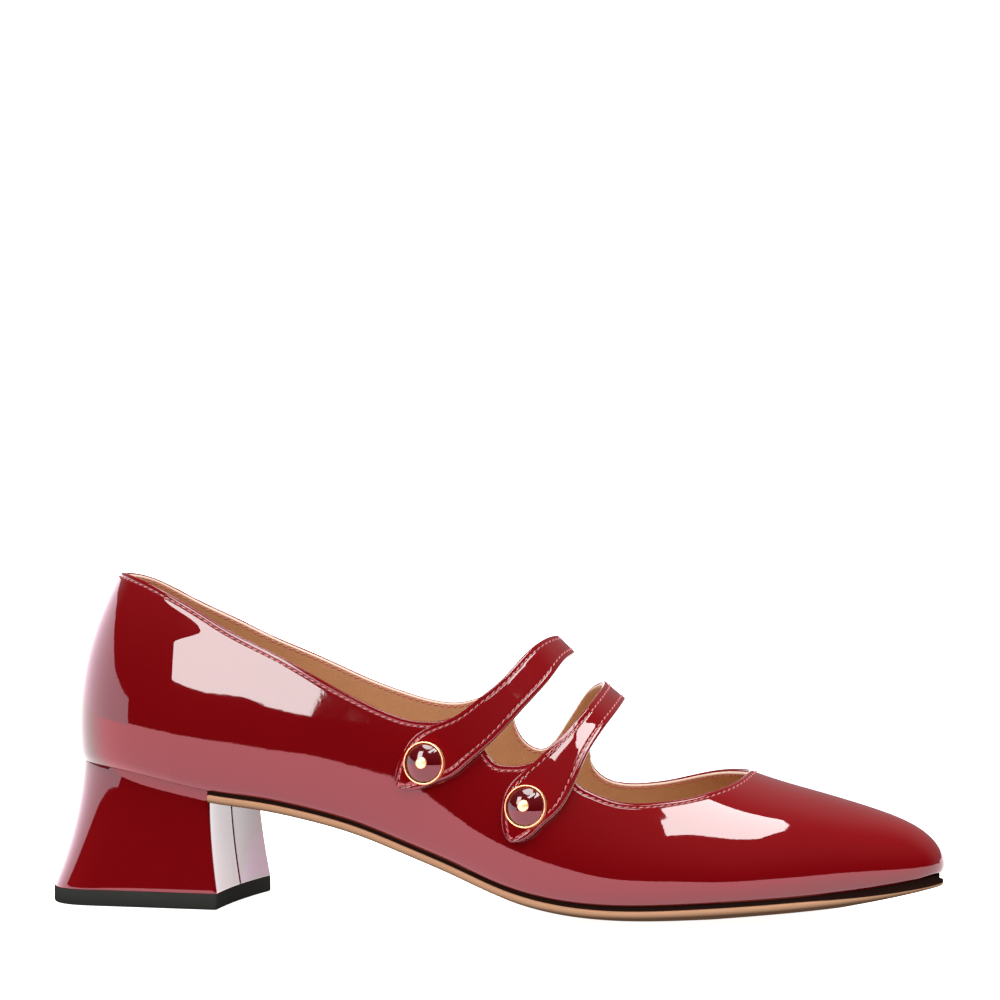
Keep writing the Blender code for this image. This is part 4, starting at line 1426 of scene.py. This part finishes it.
def toward(azimuth, elevation):
    """The direction at an azimuth (0 the outer side, 90 the toe) and elevation, in degrees."""
    azimuth = math.radians(azimuth)
    elevation = math.radians(elevation)
    flat = math.cos(elevation)
    return Vector((flat * math.sin(azimuth), -flat * math.cos(azimuth), math.sin(elevation)))


def glow_look(name, strength, colour=(1.0, 1.0, 1.0), far=None):
    """A plain glow; with a far colour it changes from the outer side to the inner one."""
    look = Look(name)
    if far:
        way = look.node("ShaderNodeVectorMath", {"operation": "NORMALIZE"}, {0: look.place()})
        across = look.node("ShaderNodeSeparateXYZ", {}, {0: way}, output=1)
        colour = look.blend(look.rise(across, -0.5, 0.3), colour, far)
    tree = look.tree
    tree.nodes.remove(tree.nodes["Principled BSDF"])
    glow = look.node("ShaderNodeEmission", {}, {"Color": opaque(colour), "Strength": strength})
    tree.links.new(glow.socket, tree.nodes["Material Output"].inputs["Surface"])
    return look.owner


def add_stage(name, work, look):
    mesh = bpy.data.meshes.new(name)
    work.to_mesh(mesh)
    work.free()
    mesh.materials.append(look)
    new = bpy.data.objects.new(name, mesh)
    bpy.context.scene.collection.objects.link(new)
    return new


def only_in_gloss(new):
    new.visible_camera = False
    new.visible_diffuse = False
    new.visible_shadow = False
    new.visible_transmission = False
    new.visible_volume_scatter = False


def add_card(name, low, high, strength, centre=SHOE_MIDDLE, reach=LIGHT_REACH, colour=(1.0, 1.0, 1.0)):
    """A glowing card seen only in reflections, between two rows of (azimuth, elevation)
    round a centre."""
    work = bmesh.new()
    lower, upper = (
        [work.verts.new(centre + toward(*corner) * reach) for corner in row]
        for row in (low, high)
    )
    for i in range(len(low) - 1):
        work.faces.new((lower[i], lower[i + 1], upper[i + 1], upper[i]))
    bmesh.ops.subdivide_edges(work, edges=work.edges, cuts=4, use_grid_fill=True)
    for vert in work.verts:
        vert.co = centre + (vert.co - centre).normalized() * reach
    only_in_gloss(add_stage(name, work, glow_look(name, strength, colour)))


def add_floor(studio):
    work = bmesh.new()
    bmesh.ops.create_circle(work, cap_ends=True, segments=96, radius=40.0)
    bmesh.ops.translate(work, vec=(0, 0, -0.1 * MM), verts=work.verts)
    look = Look("pale_floor")
    look.shader({"Base Color": (0.9, 0.9, 0.9, 1), "Roughness": 1.0, "Specular IOR Level": 0.0,
                 "Emission Color": (1, 1, 1, 1), "Emission Strength": 0.93})
    floor = add_stage("floor", work, look.owner)
    floor.visible_glossy = False
    floor.visible_diffuse = False
    work = bmesh.new()
    bmesh.ops.create_circle(work, cap_ends=True, segments=96, radius=60.0)
    bmesh.ops.translate(work, vec=(0, 0, -0.3 * MM), verts=work.verts)
    glow = glow_look("floor_glow", studio.floor_glow, FLOOR_TINT, FAR_TINT)
    only_in_gloss(add_stage("floor_glow", work, glow))


def add_world():
    """White to the camera, brighter from above for the shading and nearly dark in gloss."""
    world = bpy.data.worlds.new("studio")
    bpy.context.scene.world = world
    look = Look("studio", world)
    way = look.node("ShaderNodeTexCoord", output="Generated")
    across, height = (look.node("ShaderNodeSeparateXYZ", {}, {0: way}, output=axis) for axis in (1, 2))
    camera = look.node("ShaderNodeLightPath", output="Is Camera Ray")
    glossy = look.node("ShaderNodeLightPath", output="Is Glossy Ray")
    shading = look.rise(height, -0.6, 1.0, 0.1, 2.15)
    overhead = look.rise(height, 0.1, 0.8, 0.015, 0.14)
    haze = overhead + look.rise(across, 0.0, 0.6, 0.0, 0.3)
    strength = camera * 1.05 + (1 - camera) * (glossy * haze + (1 - glossy) * shading)
    background = look.tree.nodes["Background"]
    background.inputs["Color"].default_value = (1, 1, 1, 1)
    look.feed(background.inputs["Strength"], strength)


def add_camera(studio):
    azimuth = studio.azimuth
    elevation = studio.elevation
    flat = math.cos(elevation)
    back = Vector((math.sin(azimuth) * flat, -math.cos(azimuth) * flat, math.sin(elevation)))
    right = Vector((math.cos(azimuth), math.sin(azimuth), 0))
    up = back.cross(right)
    focal = studio.lens / SENSOR * PICTURE_SIDE
    forward = (-back + up * (SHOE_ROW - PICTURE_SIDE / 2) / focal).normalized()
    camera = bpy.data.cameras.new("camera")
    camera.lens = studio.lens
    camera.sensor_width = SENSOR
    camera.clip_end = 200
    new = bpy.data.objects.new("camera", camera)
    new.location = SHOE_MIDDLE + back * studio.distance
    new.rotation_euler = forward.to_track_quat("-Z", "Y").to_euler()
    bpy.context.scene.collection.objects.link(new)
    bpy.context.scene.camera = new


class PUMP_OT_stage(bpy.types.Operator):
    """Sets the pale floor, the studio light and the camera"""
    bl_idname = "pump.stage"
    bl_label = "Stage"

    def execute(self, context):
        _, _, studio = settings()
        bpy.context.scene.view_settings.view_transform = "Standard"
        add_floor(studio)
        add_world()
        add_card("quarter_softbox", *QUARTER_SOFTBOX, studio.box_glow, QUARTER, QUARTER_REACH)
        add_card("strap_strip", *STRAP_STRIP, studio.box_glow, STRAP, STRAP_DISTANCE)
        add_card("overhead_bar", *OVERHEAD_BAR, studio.box_glow * 1.1)
        add_card("back_card", *BACK_CARD, studio.floor_glow * 1.1, colour=BACK_TINT)
        add_card("top_card", *TOP_CARD, studio.box_glow * 0.8)
        add_camera(studio)
        return {"FINISHED"}


class PUMP_PT_panel(bpy.types.Panel):
    """Lists the steps and the values they use"""
    bl_idname = "PUMP_PT_panel"
    bl_label = "Mary jane pump"
    bl_space_type = "VIEW_3D"
    bl_region_type = "UI"
    bl_category = "Pump"

    def draw(self, context):
        for group in settings():
            box = self.layout.box()
            for name in group.bl_rna.properties.keys():
                if name not in ("rna_type", "name"):
                    box.prop(group, name)
        for operator in OPERATORS:
            self.layout.operator(operator.bl_idname)


OPERATORS = (
    PUMP_OT_upper,
    PUMP_OT_straps,
    PUMP_OT_stitches,
    PUMP_OT_studs,
    PUMP_OT_outsole,
    PUMP_OT_sock,
    PUMP_OT_heel,
    PUMP_OT_stage,
)
GROUPS = (PumpSizes, PumpColours, PumpStudio)


def register():
    for entry in (*GROUPS, *OPERATORS, PUMP_PT_panel):
        bpy.utils.register_class(entry)
    bpy.types.Scene.pump_sizes = PointerProperty(type=PumpSizes)
    bpy.types.Scene.pump_colours = PointerProperty(type=PumpColours)
    bpy.types.Scene.pump_studio = PointerProperty(type=PumpStudio)


def unregister():
    del bpy.types.Scene.pump_studio
    del bpy.types.Scene.pump_colours
    del bpy.types.Scene.pump_sizes
    for entry in reversed((*GROUPS, *OPERATORS, PUMP_PT_panel)):
        bpy.utils.unregister_class(entry)


def main():
    register()
    bpy.ops.pump.upper()
    bpy.ops.pump.straps()
    bpy.ops.pump.stitches()
    bpy.ops.pump.studs()
    bpy.ops.pump.outsole()
    bpy.ops.pump.sock()
    bpy.ops.pump.heel()
    bpy.ops.pump.stage()


if __name__ == "__main__":
    main()
